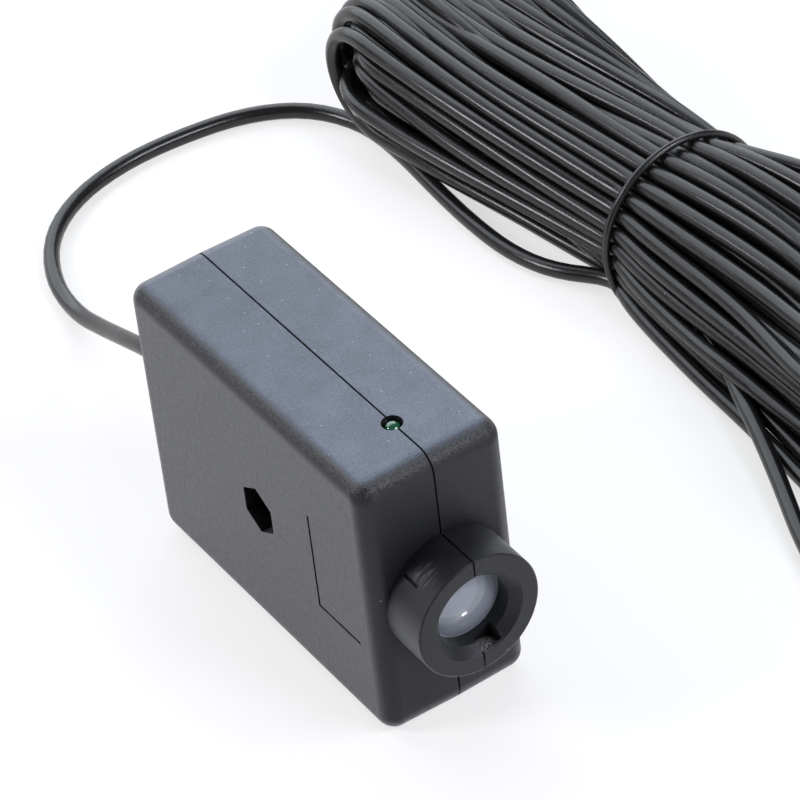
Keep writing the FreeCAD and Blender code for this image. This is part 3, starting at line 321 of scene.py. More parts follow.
class Hank:
    """Turns of cord wound side by side, pinched by one tie and fanned out at the near end."""

    def __init__(self, diameter, columns, core_turns, wander, seed):
        self.diameter = diameter
        self.radius = diameter / 2
        self.columns = columns
        self.random = np.random.default_rng(seed)
        self.turns = [("outer", c) for c in range(columns)]
        self.turns += [("inner", c) for c in reversed(range(columns))]
        self.turns += [("core", c) for c in range(core_turns)]
        self.count = len(self.turns)
        self.stray_strand = self.count + STRAY_TURN
        self.stations = np.arange(FAR_STATION, NEAR_STATION - 1e-6, -STATION_STEP)
        self.ring = self.touching_strands()
        self.lay_out()
        self.swell()
        self.wander(wander)
        self.stray()
        self.settle()

    def touching_strands(self):
        """The upper strands that touch the tie, from its left foot to its right."""
        ring = [turn for turn in self.turns if turn[0] == "core" and turn[1] % 2 == 0]
        for c in range(self.columns):
            ring.append(("outer", c))
            if c in RAISED:
                ring.append(("inner", c))
        return ring

    def under_tie(self, turn, depth):
        """The place at some depth under the tie that a strand of the ring has."""
        share = self.ring.index(turn) / (len(self.ring) - 1)
        angle = math.pi * (RING_START - RING_SWEEP * share)
        reach = TIE_RADIUS - depth
        return TIE_X + reach * math.cos(angle), TIE_CENTRE + reach * math.sin(angle)

    def outer_places(self, c):
        """Places of an outer turn's two strands at each stop."""
        places = {name: (first + step * c, height) for name, (first, step, height) in OUTER_ROWS.items()}
        if c < STEPPED_COLUMNS:
            first, step, height, rise = STEPPED_ROW
            places["far_lower"] = (first + step * c, height + rise * c)
        else:
            first, step, height = FLAT_ROW
            places["far_lower"] = (first + step * (c - STEPPED_COLUMNS), height)
        places["tie_upper"] = self.under_tie(("outer", c), TOUCHING_DEPTH)
        places["fan_upper"] = FAN_UPPER[c]
        places["near_upper"] = NEAR_UPPER[c]
        return places

    def inner_places(self, c):
        """Places of an inner turn's two strands at each stop."""
        places = {name: (first + step * c, height) for name, (first, step, height) in INNER_ROWS.items()}
        if c in RAISED:
            places["tie_upper"] = self.under_tie(("inner", c), TOUCHING_DEPTH)
        else:
            places["tie_upper"] = self.under_tie(("outer", c), SECOND_DEPTH)
        first, step, depth = INNER_FAN
        places["fan_upper"] = (first + step * c, FAN_UPPER[c][1] - depth)
        return places

    def core_places(self, c):
        """Places of a core turn's two strands at each stop."""
        level, second = divmod(c, 2)
        rows = {**CORE_ROWS, **(CORE_SECOND if second else CORE_FIRST)}
        places = {}
        for name, (across, level_step, second_step, height, rise) in rows.items():
            places[name] = (across + level_step * level + second_step * second, height + rise * level)
        if not second:
            places["tie_upper"] = self.under_tie(("core", c), TOUCHING_DEPTH)
        return places

    def lay_out(self):
        """First places of the strands: upper strands first, then lower ones, one more lower than upper."""
        n = self.count
        stops = {stop: np.zeros((2 * n + 1, 2)) for stop in STOPS}
        rules = {"outer": self.outer_places, "inner": self.inner_places, "core": self.core_places}
        for k, (layer, c) in enumerate(self.turns):
            places = rules[layer](c)
            for stop in STOPS:
                stops[stop][k] = places[f"{stop}_upper"]
                stops[stop][n + k] = places[f"{stop}_lower"]
        for stop in STOPS:
            stops[stop][2 * n] = LAST_STRAND[stop]
        far, tie, fan, near = (stops[stop] for stop in STOPS)
        self.places = np.zeros((2 * n + 1, len(self.stations), 2))
        for j, y in enumerate(self.stations):
            if y >= TIE_Y:
                share = smooth((y - TIE_Y) / (FAR_STATION - TIE_Y) * FAR_EASE)
                self.places[:, j] = tie * (1 - share) + far * share
            elif y >= FAN_STATION:
                share = (TIE_Y - y) / (TIE_Y - FAN_STATION)
                self.places[:, j] = tie * (1 - share) + fan * share
            else:
                share = smooth((FAN_STATION - y) / (FAN_STATION - NEAR_STATION))
                self.places[:, j] = fan * (1 - share) + near * share

    def swell(self):
        """Strands spring outward just past the tie on the near side."""
        past = np.maximum(TIE_Y - self.stations, 0.0) / SWELL_REACH
        amount = SWELL * past * np.exp(1.0 - past)
        out = self.places - np.array([TIE_X, TIE_CENTRE])
        out /= np.maximum(np.linalg.norm(out, axis=2, keepdims=True), SWELL_CORE)
        out[..., 1] = np.maximum(out[..., 1], 0.0)
        self.places += out * amount[None, :, None]

    def wander(self, size):
        """Slow waves that keep the strands from lying quite parallel, away from the tie."""
        steps = np.arange(len(self.stations)) / len(self.stations)
        away = smooth((np.abs(self.stations - TIE_Y) - WANDER_STILL) / WANDER_GROWS)
        for strand in self.places:
            for axis in range(2):
                waves = self.random.uniform(*WANDER_WAVES)
                phase = self.random.uniform()
                wave = np.sin(2 * math.pi * (steps * waves + phase))
                strand[:, axis] += self.random.normal(0, size) * wave * away

    def stray(self):
        """One lower strand crosses over its neighbours towards the front."""
        line = np.array(STRAY_LINE)
        free = self.stations < STRAY_FROM
        along = -self.stations[free]
        for axis in range(2):
            self.places[self.stray_strand, free, axis] = np.interp(along, -line[:, 0], line[:, axis + 1])

    def settle(self):
        """Push strands apart until they lie beside each other, on the floor and inside the tie."""
        places = self.places
        wanted = places.copy()
        strands = len(places)
        present = np.ones(places.shape[:2], bool)
        present[self.count] = self.stations <= LEAD_END
        both = present[:, None] & present[None]
        both[np.arange(strands), np.arange(strands)] = False
        pinch = np.clip(1 - (np.abs(self.stations - TIE_Y) - PINCH_REACH) / PINCH_FADE, 0, 1)
        beside = self.diameter * BESIDE
        for _ in range(ROUNDS):
            places[:, 1:-1] += STRAIGHTEN * (places[:, :-2] + places[:, 2:] - 2 * places[:, 1:-1])
            places += DRAW_BACK * (wanted - places)
            apart = places[:, None] - places[None]
            distance = np.sqrt((apart ** 2).sum(-1)) + 1e-6
            push = np.where(both & (distance < beside), PUSH_OFF * (beside - distance) / distance, 0.0)
            places += (push[..., None] * apart).sum(1)
            for j, y in enumerate(self.stations):
                if y > LEAD_END:
                    self.clear_lead(places[:, j], y)
                if pinch[j] > 0:
                    self.hold_in_tie(places[:, j], pinch[j])
            places[..., 1] = np.maximum(places[..., 1], (self.radius + pinch * TIE_LIFT)[None])

    def clear_lead(self, places, y):
        """Push strands at one station off the lead that lies beside the hank."""
        lead = np.array([(point[1], point[0]) for point in LEAD_ROUTE[LEAD_BESIDE:]])
        off = places - np.array([np.interp(-y, -lead[:, 0], lead[:, 1]), self.radius])
        reach = np.sqrt((off ** 2).sum(1)) + 1e-6
        push = PUSH_OFF_LEAD * (self.diameter - reach) / reach
        places += np.where(reach < self.diameter, push, 0.0)[:, None] * off

    def hold_in_tie(self, places, pinch):
        """Draw strands at one station into the tie's arch, which widens with the distance from the tie."""
        limit = TIE_RADIUS - self.radius + (1 - pinch) * PINCH_SLACK
        across = places[:, 0] - TIE_X
        up = np.maximum(places[:, 1] - TIE_CENTRE, 0.0)
        out = np.maximum(np.sqrt(across ** 2 + up ** 2) / limit, 1.0)
        places[:, 0] = TIE_X + across / out
        places[:, 1] += up / out - up

    def strand(self, index, far_end, near_end):
        """Points of one strand from its far end to its near end."""
        places = self.places[index]
        points = [(places[j, 0], y, places[j, 1]) for j, y in enumerate(self.stations)
                  if near_end + END_ROOM < y < far_end - END_ROOM]
        first = [(places[0, 0], far_end, places[0, 1])] if far_end > FAR_STATION else []
        last = [(places[-1, 0], near_end, places[-1, 1])]
        return first + points + last

    def fold(self, start, end, out):
        """Points between start and end of the half loop that bulges along Y."""
        start = np.array(start)
        end = np.array(end)
        middle = (start + end) / 2
        half = (start - end) / 2
        size = np.linalg.norm(half)
        outward = np.array([0.0, out * size, 0.0])
        return [tuple(middle + half * math.cos(angle) + outward * math.sin(angle))
                for angle in np.linspace(0, math.pi, FOLD_POINTS)[1:-1]]

    def spread(self, first, second, station):
        """Part two strands near a fold so that it is wide enough: the upper one moves."""
        apart = self.places[first, station] - self.places[second, station]
        width = np.linalg.norm(apart)
        if width >= FOLD_WIDTH:
            return
        move = apart / width * (FOLD_WIDTH - width)
        up = 1.0 if apart[1] > 0 else 0.0
        for step, fade in enumerate(FOLD_FADE):
            j = step if station == 0 else station - step
            self.places[first, j] += move * up * fade
            self.places[second, j] -= move * (1 - up) * fade

    def route(self):
        """Every control point of the hank, from the tie to the bare end."""
        n = self.count
        far_ends = []
        near_ends = []
        for k, (layer, _) in enumerate(self.turns):
            self.spread(k, n + k + 1, 0)
            if n + k != self.stray_strand:
                self.spread(k, n + k, -1)
            near_ends.append(NEAR_STATION - self.random.uniform(0.0, NEAR_SPREAD))
            if layer == "core":
                far_ends.append(self.random.uniform(*CORE_FAR_FOLD))
            else:
                slant = FAR_SLANT * (self.places[k, 0, 0] - FAR_FOLD_X)
                far_ends.append(FAR_FOLD + slant + self.random.uniform(-FAR_SPREAD, FAR_SPREAD))
        near_ends.append(NEAR_STATION - END_ROOM)
        points = self.strand(n, LEAD_END + END_ROOM, near_ends[0])
        for k in range(n):
            upper = self.strand(k, far_ends[k], near_ends[k])[::-1]
            if n + k == self.stray_strand:
                points += STRAY_LOOP
            else:
                points += self.fold(points[-1], upper[0], -1)
            points += upper
            lower = self.strand(n + k + 1, far_ends[k], near_ends[k + 1])
            points += self.fold(upper[-1], lower[0], 1) + lower
        return points + BARE_END


class HousingLook(bpy.types.PropertyGroup):
    """Finish of the moulded housing."""

    colour: bpy.props.FloatVectorProperty(
        name="Colour", description="Colour of the moulded plastic", default=(0.012, 0.0122, 0.0135),
        subtype="COLOR")
    # painted sheen: this film colour stands in for the bluish reflection on upward faces, with fine dust in
    # it
    top_sheen: bpy.props.FloatVectorProperty(
        name="Film", description="Colour of the fine dust on upward faces", default=(0.106, 0.124, 0.157),
        subtype="COLOR")
    roughness: bpy.props.FloatProperty(
        name="Roughness", description="Dullness of the blasted surface", default=0.38, subtype="FACTOR")
    grain: bpy.props.FloatProperty(
        name="Grain", description="Size of the blasted grain", default=0.00023, unit="LENGTH", precision=5)
    dust: bpy.props.FloatProperty(
        name="Dust", description="Size of the dust specks", default=0.00016, unit="LENGTH", precision=5)


class OpticsLook(bpy.types.PropertyGroup):
    """Finish of the lens and the indicator lamp."""

    lens_colour: bpy.props.FloatVectorProperty(
        name="Lens", description="Tint of the lens", default=(0.345, 0.373, 0.43), subtype="COLOR")
    lamp_colour: bpy.props.FloatVectorProperty(
        name="Lamp", description="Tint of the indicator lamp", default=(0.01, 0.12, 0.05), subtype="COLOR")


class CordLook(bpy.types.PropertyGroup):
    """Sizes and colour of the cord and its hank."""

    diameter: bpy.props.FloatProperty(
        name="Diameter", description="Thickness of the cord", default=0.003, unit="LENGTH", precision=4)
    length: bpy.props.FloatProperty(
        name="Length", description="Length of the cord", default=10.5, unit="LENGTH")
    columns: bpy.props.IntProperty(
        name="Columns", description="Turns beside each other in one layer of the hank", default=11,
        min=STRAY_TURN + 1, max=len(FAN_UPPER))
    core_turns: bpy.props.IntProperty(
        name="Core turns", description="Flat turns inside the hank", default=6, min=0)
    wander: bpy.props.FloatProperty(
        name="Wander", description="How far strands stray from lying parallel", default=0.0009, unit="LENGTH",
        precision=4)
    colour: bpy.props.FloatVectorProperty(
        name="Colour", description="Colour of the sheath", default=(0.009, 0.009, 0.0095), subtype="COLOR")
    tie_diameter: bpy.props.FloatProperty(
        name="Tie", description="Thickness of the wire tie", default=0.0014, unit="LENGTH", precision=4)


class StageLook(bpy.types.PropertyGroup):
    """Floor, light and camera."""

    floor_colour: bpy.props.FloatVectorProperty(
        name="Floor", description="Colour of the floor", default=(0.95, 0.95, 0.95), subtype="COLOR")
    floor_glow: bpy.props.FloatProperty(
        name="Floor glow", description="How far the floor is seen as plain white", default=0.66,
        subtype="FACTOR")
    fill: bpy.props.FloatProperty(
        name="Fill", description="Strength of the light from all round", default=0.18)
    lens: bpy.props.FloatProperty(
        name="Lens", description="Focal length of the camera", default=219.28, unit="CAMERA")


class Shading:
    """The nodes of one material or world."""

    def __init__(self, tree):
        self.tree = tree
        self.tree.nodes.clear()

    def add(self, kind):
        return self.tree.nodes.new(kind)

    def join(self, output, socket):
        self.tree.links.new(output, socket)

    def remap(self, value, low, high, start=0.3, end=0.7):
        """A value from start to end turned into one from low to high."""
        node = self.add("ShaderNodeMapRange")
        node.inputs["From Min"].default_value = start
        node.inputs["From Max"].default_value = end
        node.inputs["To Min"].default_value = low
        node.inputs["To Max"].default_value = high
        self.join(value, node.inputs["Value"])
        return node.outputs["Result"]

    def mask(self, value, start, end):
        """0 up to the start of a range of values and 1 from its end on."""
        return self.remap(value, 0.0, 1.0, start, end)

    def math(self, kind, first, second):
        node = self.add("ShaderNodeMath")
        node.operation = kind
        for socket, value in zip(node.inputs, (first, second)):
            if isinstance(value, (int, float)):
                socket.default_value = value
            else:
                self.join(value, socket)
        return node.outputs["Value"]

    def product(self, first, *others):
        """Several values multiplied with each other."""
        for other in others:
            first = self.math("MULTIPLY", first, other)
        return first

    def seen(self):
        """1 where the camera sees this, also in gloss and through glass, and 0 where it only gives light."""
        path = self.add("ShaderNodeLightPath").outputs
        seen = self.math("MAXIMUM", path["Is Camera Ray"], path["Is Glossy Ray"])
        return self.math("MAXIMUM", seen, path["Is Transmission Ray"])

    def part(self, vector, axis):
        """One part of a vector."""
        node = self.add("ShaderNodeSeparateXYZ")
        self.join(vector, node.inputs["Vector"])
        return node.outputs[axis]


class Surface(Shading):
    """A procedural material in object space with one Principled shader."""

    def __init__(self, name, colour, roughness):
        self.material = bpy.data.materials.new(name)
        self.material.use_nodes = True
        super().__init__(self.material.node_tree)
        self.output = self.add("ShaderNodeOutputMaterial")
        self.shader = self.add("ShaderNodeBsdfPrincipled")
        self.join(self.shader.outputs["BSDF"], self.output.inputs["Surface"])
        self.place = self.add("ShaderNodeTexCoord").outputs["Object"]
        self.set("Base Color", (*colour, 1.0))
        self.set("Roughness", roughness)
        self.colour = tuple(colour)

    def set(self, name, value):
        self.shader.inputs[name].default_value = value

    def steer(self, name, value):
        """Let a node's output set one of the shader's inputs."""
        self.join(value, self.shader.inputs[name])

    def noise(self, size, detail=2.0, stretch=None):
        """Noise whose lumps are about this size in metres."""
        node = self.add("ShaderNodeTexNoise")
        node.inputs["Scale"].default_value = 1.0 / size
        node.inputs["Detail"].default_value = detail
        place = self.place
        if stretch:
            mapping = self.add("ShaderNodeMapping")
            mapping.inputs["Scale"].default_value = stretch
            self.join(place, mapping.inputs["Vector"])
            place = mapping.outputs["Vector"]
        self.join(place, node.inputs["Vector"])
        return node.outputs["Fac"]

    def blend(self, factor, first, second):
        """One colour or another by a factor."""
        node = self.add("ShaderNodeMix")
        node.data_type = "RGBA"
        self.join(factor, node.inputs["Factor"])
        for socket, value in zip((node.inputs[6], node.inputs[7]), (first, second)):
            if isinstance(value, tuple):
                socket.default_value = (*value, 1.0)
            else:
                self.join(value, socket)
        return node.outputs[2]

    def specks(self, spacing, size, share, cells="3D"):
        """Small spots: one in some of the cells, which are columns along Z if they are 2D."""
        node = self.add("ShaderNodeTexVoronoi")
        node.voronoi_dimensions = cells
        node.inputs["Scale"].default_value = 1.0 / spacing
        self.join(self.place, node.inputs["Vector"])
        spot = self.mask(node.outputs["Distance"], start=size / spacing, end=size / spacing * 0.5)
        pick = self.add("ShaderNodeSeparateColor")
        self.join(node.outputs["Color"], pick.inputs["Color"])
        return self.product(spot, self.math("LESS_THAN", pick.outputs["Red"], share))

    def openness(self, reach):
        """1 in the open and 0 deep in a groove or pocket."""
        node = self.add("ShaderNodeAmbientOcclusion")
        node.only_local = True
        node.samples = 6
        node.inputs["Distance"].default_value = reach
        return self.mask(node.outputs["AO"], start=0.3, end=0.75)

    def grazing(self, low, high):
        """Low where the surface is seen squarely and high where it is seen at a flat angle."""
        node = self.add("ShaderNodeLayerWeight")
        return self.remap(node.outputs["Facing"], low, high, start=0.35, end=0.62)

    def normal(self):
        return self.add("ShaderNodeNewGeometry").outputs["Normal"]

    def facing_up(self, start, end):
        """0 on walls and 1 on upward faces."""
        return self.mask(self.part(self.normal(), "Z"), start, end)

    def along(self, axis, start, end):
        """0 before a place along an axis and 1 past it."""
        return self.mask(self.part(self.place, axis), start, end)

    def near(self, point, inside, outside):
        """1 within one distance of a point and 0 beyond another, in metres."""
        node = self.add("ShaderNodeVectorMath")
        node.operation = "DISTANCE"
        self.join(self.place, node.inputs[0])
        node.inputs[1].default_value = point
        return self.mask(node.outputs["Value"], start=outside, end=inside)

    def vector(self, kind, *values):
        node = self.add("ShaderNodeVectorMath")
        node.operation = kind
        for socket, value in zip(node.inputs, values):
            if isinstance(value, tuple):
                socket.default_value = value
            else:
                self.join(value, socket)
        return node.outputs["Vector"]

    def mottle(self, size, spread):
        """The base colour, slowly varied."""
        darker = tuple(value * (1 - spread) for value in self.colour)
        lighter = tuple(value * (1 + spread) for value in self.colour)
        return self.blend(self.remap(self.noise(size, detail=3.0), low=0.0, high=1.0), darker, lighter)

    def paint(self, colour):
        self.steer("Base Color", colour)

    def dull(self, size, low, high):
        """Vary the roughness."""
        self.steer("Roughness", self.remap(self.noise(size, detail=3.0), low, high))

    def bump(self, height, depth, strength=1.0):
        """Raise the surface by a height between 0 and 1, as far as depth."""
        node = self.add("ShaderNodeBump")
        node.inputs["Strength"].default_value = strength
        node.inputs["Distance"].default_value = depth
        self.join(height, node.inputs["Height"])
        self.steer("Normal", node.outputs["Normal"])


def moulded(name, colour, roughness, grain, depth):
    """Plastic with a fine grain."""
    surface = Surface(name, colour, roughness)
    surface.paint(surface.mottle(size=0.006, spread=0.12))
    surface.dull(size=0.0015, low=roughness - 0.06, high=roughness + 0.06)
    surface.bump(surface.noise(grain), depth)
    return surface


def metal(name, colour, roughness, grain):
    """Metal with fine drawing lines."""
    surface = Surface(name, colour, roughness)
    surface.set("Metallic", 1.0)
    surface.paint(surface.mottle(size=0.002, spread=0.1))
    surface.dull(size=0.0006, low=roughness - 0.08, high=roughness + 0.1)
    surface.bump(surface.noise(grain, stretch=(1.0, 1.0, 0.12)), depth=0.00001, strength=0.5)
    return surface


def dress(names, surface):
    """Give CAD nodes a material."""
    for name in names:
        item = bpy.data.objects[name]
        if not item.material_slots:
            item.data.materials.append(None)
        for slot in item.material_slots:
            slot.material = surface.material


def dress_moulded(rows):
    """Give CAD nodes the plain moulded finishes of a list."""
    for name, colour, roughness, grain, depth, nodes in rows:
        dress(nodes, moulded(name, colour, roughness, grain, depth))


def top_sheen_and_dust(surface, plastic, look):
    """Painted sheen on the housing's top: a bluish painted reflection mixed with fine dust, brighter towards
    the front.
    """
    patches = surface.remap(surface.noise(size=0.005, detail=4.0), low=0.75, high=1.0)
    grains = surface.remap(surface.noise(size=look.grain * 1.6), low=0.75, high=1.2)
    top = surface.product(surface.facing_up(start=0.78, end=0.985), surface.along("Z", *TOP_BEGINS))
    sheen_share = surface.product(top, patches, grains)
    brighter_sheen = tuple(value * 1.35 for value in look.top_sheen)
    top_sheen = surface.blend(surface.along("Y", *TOP_SHEEN_GROWS), tuple(look.top_sheen), brighter_sheen)
    return surface.blend(sheen_share, plastic, top_sheen)


def rubbed_edges_and_highlight(surface, plastic):
    """Lighter grain on the rounded edges of the housing's top: rubbed wear, and a painted grainy highlight
    along the fillets.
    """
    edges = surface.product(surface.facing_up(start=0.35, end=0.6), surface.facing_up(start=0.985, end=0.9))
    grains = surface.mask(surface.noise(size=0.00034, detail=1.0), start=0.4, end=0.7)
    rubbed_highlight = surface.product(edges, surface.along("Z", *TOP_BEGINS), grains)
    return surface.blend(rubbed_highlight, plastic, RUBBED_HIGHLIGHT_GREY)


def torn_and_lit_notch(surface, plastic):
    """Pale torn plastic on the floor of the notch in the barrel, painted paler as light that the floor
    catches.
    """
    from_below = surface.along("Z", NOTCH_FLOOR - 0.35 * MM, NOTCH_FLOOR - 0.15 * MM)
    from_above = surface.along("Z", NOTCH_FLOOR + 0.25 * MM, NOTCH_FLOOR + 0.15 * MM)
    shreds = surface.remap(surface.noise(size=0.0004, detail=3.0), low=0.1, high=1.0, start=0.4, end=0.65)
    torn_and_lit = surface.product(surface.facing_up(start=0.9, end=0.95), from_below, from_above, shreds)
    return surface.blend(torn_and_lit, plastic, TORN_AND_LIT_GREY)


def barrel_scuffs(surface, plastic):
    """A few light scratches along the barrel."""
    patch = surface.product(surface.near(SCUFFS, *SCUFFS_EDGE), 0.5)
    streaks = surface.mask(surface.noise(size=0.0006, stretch=(0.12, 1.0, 0.12)), start=0.5, end=0.62)
    return surface.blend(surface.product(patch, streaks), plastic, SCUFF_GREY)


def dust_specks(surface, plastic, size):
    """Single specks of dust, most of them on upward faces."""
    lying = surface.specks(spacing=0.003, size=size, share=0.2, cells="2D")
    lying = surface.product(lying, surface.facing_up(start=0.9, end=0.97))
    clinging = surface.specks(spacing=0.0042, size=size, share=0.3)
    specks = surface.math("MAXIMUM", clinging, lying)
    return surface.blend(surface.product(specks, 0.5), plastic, DUST_GREY)


def shell_surface(look):
    """Black plastic with a blasted grain, faint mottling, small marks, a little dust, a painted sheen on the
    top, painted highlights on its edges and painted shade in its hollows.
    """
    surface = Surface("shell_plastic", look.colour, look.roughness)
    plastic = top_sheen_and_dust(surface, surface.mottle(size=0.012, spread=0.12), look)
    plastic = rubbed_edges_and_highlight(surface, plastic)
    plastic = torn_and_lit_notch(surface, plastic)
    plastic = barrel_scuffs(surface, plastic)
    plastic = dust_specks(surface, plastic, look.dust)
    # painted shade: the colour darkens towards black where walls are near, in grooves, pockets, the bore and
    # around the barrel
    unshaded = surface.openness(SHADE_REACH)
    surface.paint(surface.blend(unshaded, PAINTED_SHADE_BLACK, plastic))
    surface.set("Specular IOR Level", 0.4)
    surface.set("Specular Tint", (0.92, 0.93, 1.0, 1.0))
    surface.steer("Specular IOR Level", surface.product(unshaded, surface.grazing(low=0.27, high=0.66)))
    surface.set("Sheen Weight", 0.18)
    surface.set("Sheen Roughness", 0.35)
    surface.set("Sheen Tint", (0.84, 0.91, 1.0, 1.0))
    surface.dull(size=0.0009, low=look.roughness - 0.07, high=look.roughness + 0.07)
    surface.bump(surface.noise(look.grain, detail=3.0), depth=look.grain * 0.35)
    return surface


def lens_surface(colour):
    """Clear moulded lens: a milky body with a painted highlight along its rim, a painted lighter disc for the
    bore seen through it, and rear gloss.
    """
    surface = Surface("lens_clear", colour, 0.03)
    painted_disc = tuple(value * 1.27 for value in colour)
    rim_highlight = tuple(value * 1.8 for value in colour)
    milky = surface.mottle(size=0.004, spread=0.05)
    # painted refraction: a lighter disc where the bore shows through the lens
    body = surface.blend(surface.near(LENS_PAINTED_DISC, *LENS_PAINTED_DISC_EDGE), milky, painted_disc)
    # painted highlight: a lighter band along the lens's rim
    surface.paint(surface.blend(surface.along("Y", *LENS_RIM_HIGHLIGHT), body, rim_highlight))
    surface.dull(size=0.002, low=0.01, high=0.04)
    surface.set("Transmission Weight", 0.5)
    surface.set("IOR", 1.49)
    surface.steer("Coat Weight", surface.near(LENS_GLOSS, *LENS_GLOSS_EDGE))
    surface.set("Coat Roughness", 0.01)
    surface.set("Coat IOR", 1.75)
    hollow = surface.vector("MULTIPLY_ADD", surface.normal(), LENS_HOLLOW, LENS_TILT)
    surface.steer("Coat Normal", surface.vector("NORMALIZE", hollow))
    return surface


def lamp_surface(colour):
    """Tinted clear plastic with a glossy skin."""
    surface = Surface("lamp_green", colour, 0.08)
    surface.paint(surface.mottle(size=0.0015, spread=0.25))
    surface.set("Transmission Weight", 0.4)
    surface.set("Coat Weight", 1.0)
    surface.set("Coat Roughness", 0.03)
    return surface


def board_surface():
    """Green lacquer with raised traces under it."""
    surface = Surface("board_green", (0.03, 0.16, 0.06), 0.35)
    lines = surface.noise(size=0.0022, detail=0.0, stretch=(1.0, 1.0, 0.2))
    traces = surface.mask(lines, start=0.49, end=0.51)
    surface.paint(surface.blend(traces, surface.mottle(size=0.004, spread=0.1), TRACE_GREEN))
    surface.dull(size=0.001, low=0.28, high=0.42)
    surface.bump(traces, depth=0.00003)
    return surface


def sheath_surface(colour):
    """Smooth satin sheath with a few specks of dust."""
    surface = Surface("cord_sheath", colour, 0.25)
    surface.set("Specular IOR Level", 0.45)
    dust = surface.product(surface.specks(spacing=0.006, size=0.00014, share=0.2), 0.4)
    surface.paint(surface.blend(dust, surface.mottle(size=0.008, spread=0.15), CORD_DUST_GREY))
    surface.dull(size=0.0025, low=0.22, high=0.3)
    surface.bump(surface.noise(size=0.0012, detail=1.0), depth=0.000006)
    return surface


class SENSOR_OT_housing(bpy.types.Operator):
    """Finish the two shells and the screws that close them"""

    bl_idname = "sensor.housing"
    bl_label = "Housing"

    def execute(self, context):
        dress(("left_shell", "right_shell"), shell_surface(context.scene.sensor_housing))
        dress(("shell_screws", "board_screws"), metal("zinc_steel", (0.6, 0.6, 0.62), 0.35, 0.0003))
        return {"FINISHED"}


class SENSOR_OT_optics(bpy.types.Operator):
    """Finish the lens, its seal, the lamp and the detector"""

    bl_idname = "sensor.optics"
    bl_label = "Optics"

    def execute(self, context):
        look = context.scene.sensor_optics
        dress(("lens",), lens_surface(look.lens_colour))
        dress(("indicator_lamp",), lamp_surface(look.lamp_colour))
        dress_moulded(OPTICS_PLASTICS)
        dress(("detector_hood",), metal("tinplate", (0.72, 0.72, 0.72), 0.3, 0.0003))
        return {"FINISHED"}


class SENSOR_OT_electronics(bpy.types.Operator):
    """Finish the circuit board and what is soldered to it"""

    bl_idname = "sensor.electronics"
    bl_label = "Electronics"

    def execute(self, context):
        dress(("circuit_board",), board_surface())
        leads = ("lamp_leads", "detector_leads", "chip_legs")
        dress(leads, metal("tinned_wire", (0.7, 0.7, 0.72), 0.25, 0.0002))
        dress_moulded(BOARD_PLASTICS)
        return {"FINISHED"}


def smooth_curve(context, name, points, thickness, steps, closed=False):
    """A round rod on one NURBS spline with these control points in millimetres."""
    curve = bpy.data.curves.new(name, "CURVE")
    curve.dimensions = "3D"
    curve.bevel_depth = 1.0
    curve.bevel_resolution = 4
    curve.resolution_u = steps
    curve.use_fill_caps = not closed
    spline = curve.splines.new("NURBS")
    spline.points.add(len(points) - 1)
    for point, place in zip(spline.points, points):
        point.co = (place[0] * MM, place[1] * MM, place[2] * MM, 1.0)
        point.radius = thickness / 2
    spline.order_u = 3
    if closed:
        spline.use_cyclic_u = True
    else:
        spline.use_endpoint_u = True
    rod = bpy.data.objects.new(name, curve)
    context.scene.collection.objects.link(rod)
    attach(rod, "root")
    return rod


def tie_route(half):
    """Points of the tie, up its left side, over the hank and back under it, for half the wire's thickness."""
    reach = TIE_RADIUS + half + TIE_GAP
    foot = half + FLOOR_GAP
    points = [(TIE_X - reach * 0.98, 35.5, 2.2), (TIE_X - reach, 36.8, 5.5)]
    for angle in np.linspace(math.pi, 0, 13):
        points.append((TIE_X + reach * math.cos(angle), TIE_Y, TIE_CENTRE + reach * math.sin(angle)))
    return points + [
        (TIE_X + reach, TIE_Y, 5.0), (TIE_X + reach * 0.98, TIE_Y, 1.6), (TIE_X + 14.0, 37.0, foot),
        (TIE_X, 31.5, foot), (TIE_X - 10.0, 26.5, foot), (TIE_X - 14.2, 26.6, foot),
        (TIE_X - 15.5, 30.0, foot), (TIE_X - 15.8, 33.5, foot + 0.3),
    ]


class SENSOR_OT_tie(bpy.types.Operator):
    """Bind the hank with a thin coated wire"""

    bl_idname = "sensor.tie"
    bl_label = "Hank tie"

    def execute(self, context):
        look = context.scene.sensor_cord
        points = tie_route(look.tie_diameter / 2 / MM)
        tie = smooth_curve(context, "tie", points, look.tie_diameter, steps=8, closed=True)
        surface = moulded("tie_black", (0.01, 0.01, 0.011), 0.3, 0.0009, 0.000005)
        tie.data.materials.append(surface.material)
        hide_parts("hank_tie")
        return {"FINISHED"}


class SENSOR_OT_cord(bpy.types.Operator):
    """Lay the cord from the housing and wind its hank"""

    bl_idname = "sensor.cord"
    bl_label = "Cord and hank"

    def execute(self, context):
        look = context.scene.sensor_cord
        hank = Hank(look.diameter / MM, look.columns, look.core_turns, look.wander / MM, HANK_SEED)
        cord = smooth_curve(context, "cord", LEAD_ROUTE + hank.route(), look.diameter, steps=4)
        surface = sheath_surface(look.colour)
        cord.data.materials.append(surface.material)
        dress(("cord_end",), surface)
        dress_moulded(CORD_PLASTICS)
        dress(("core_tips",), metal("bare_copper", (0.75, 0.42, 0.24), 0.35, 0.0002))
        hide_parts("free_cord", "cord_hank")
        return {"FINISHED"}


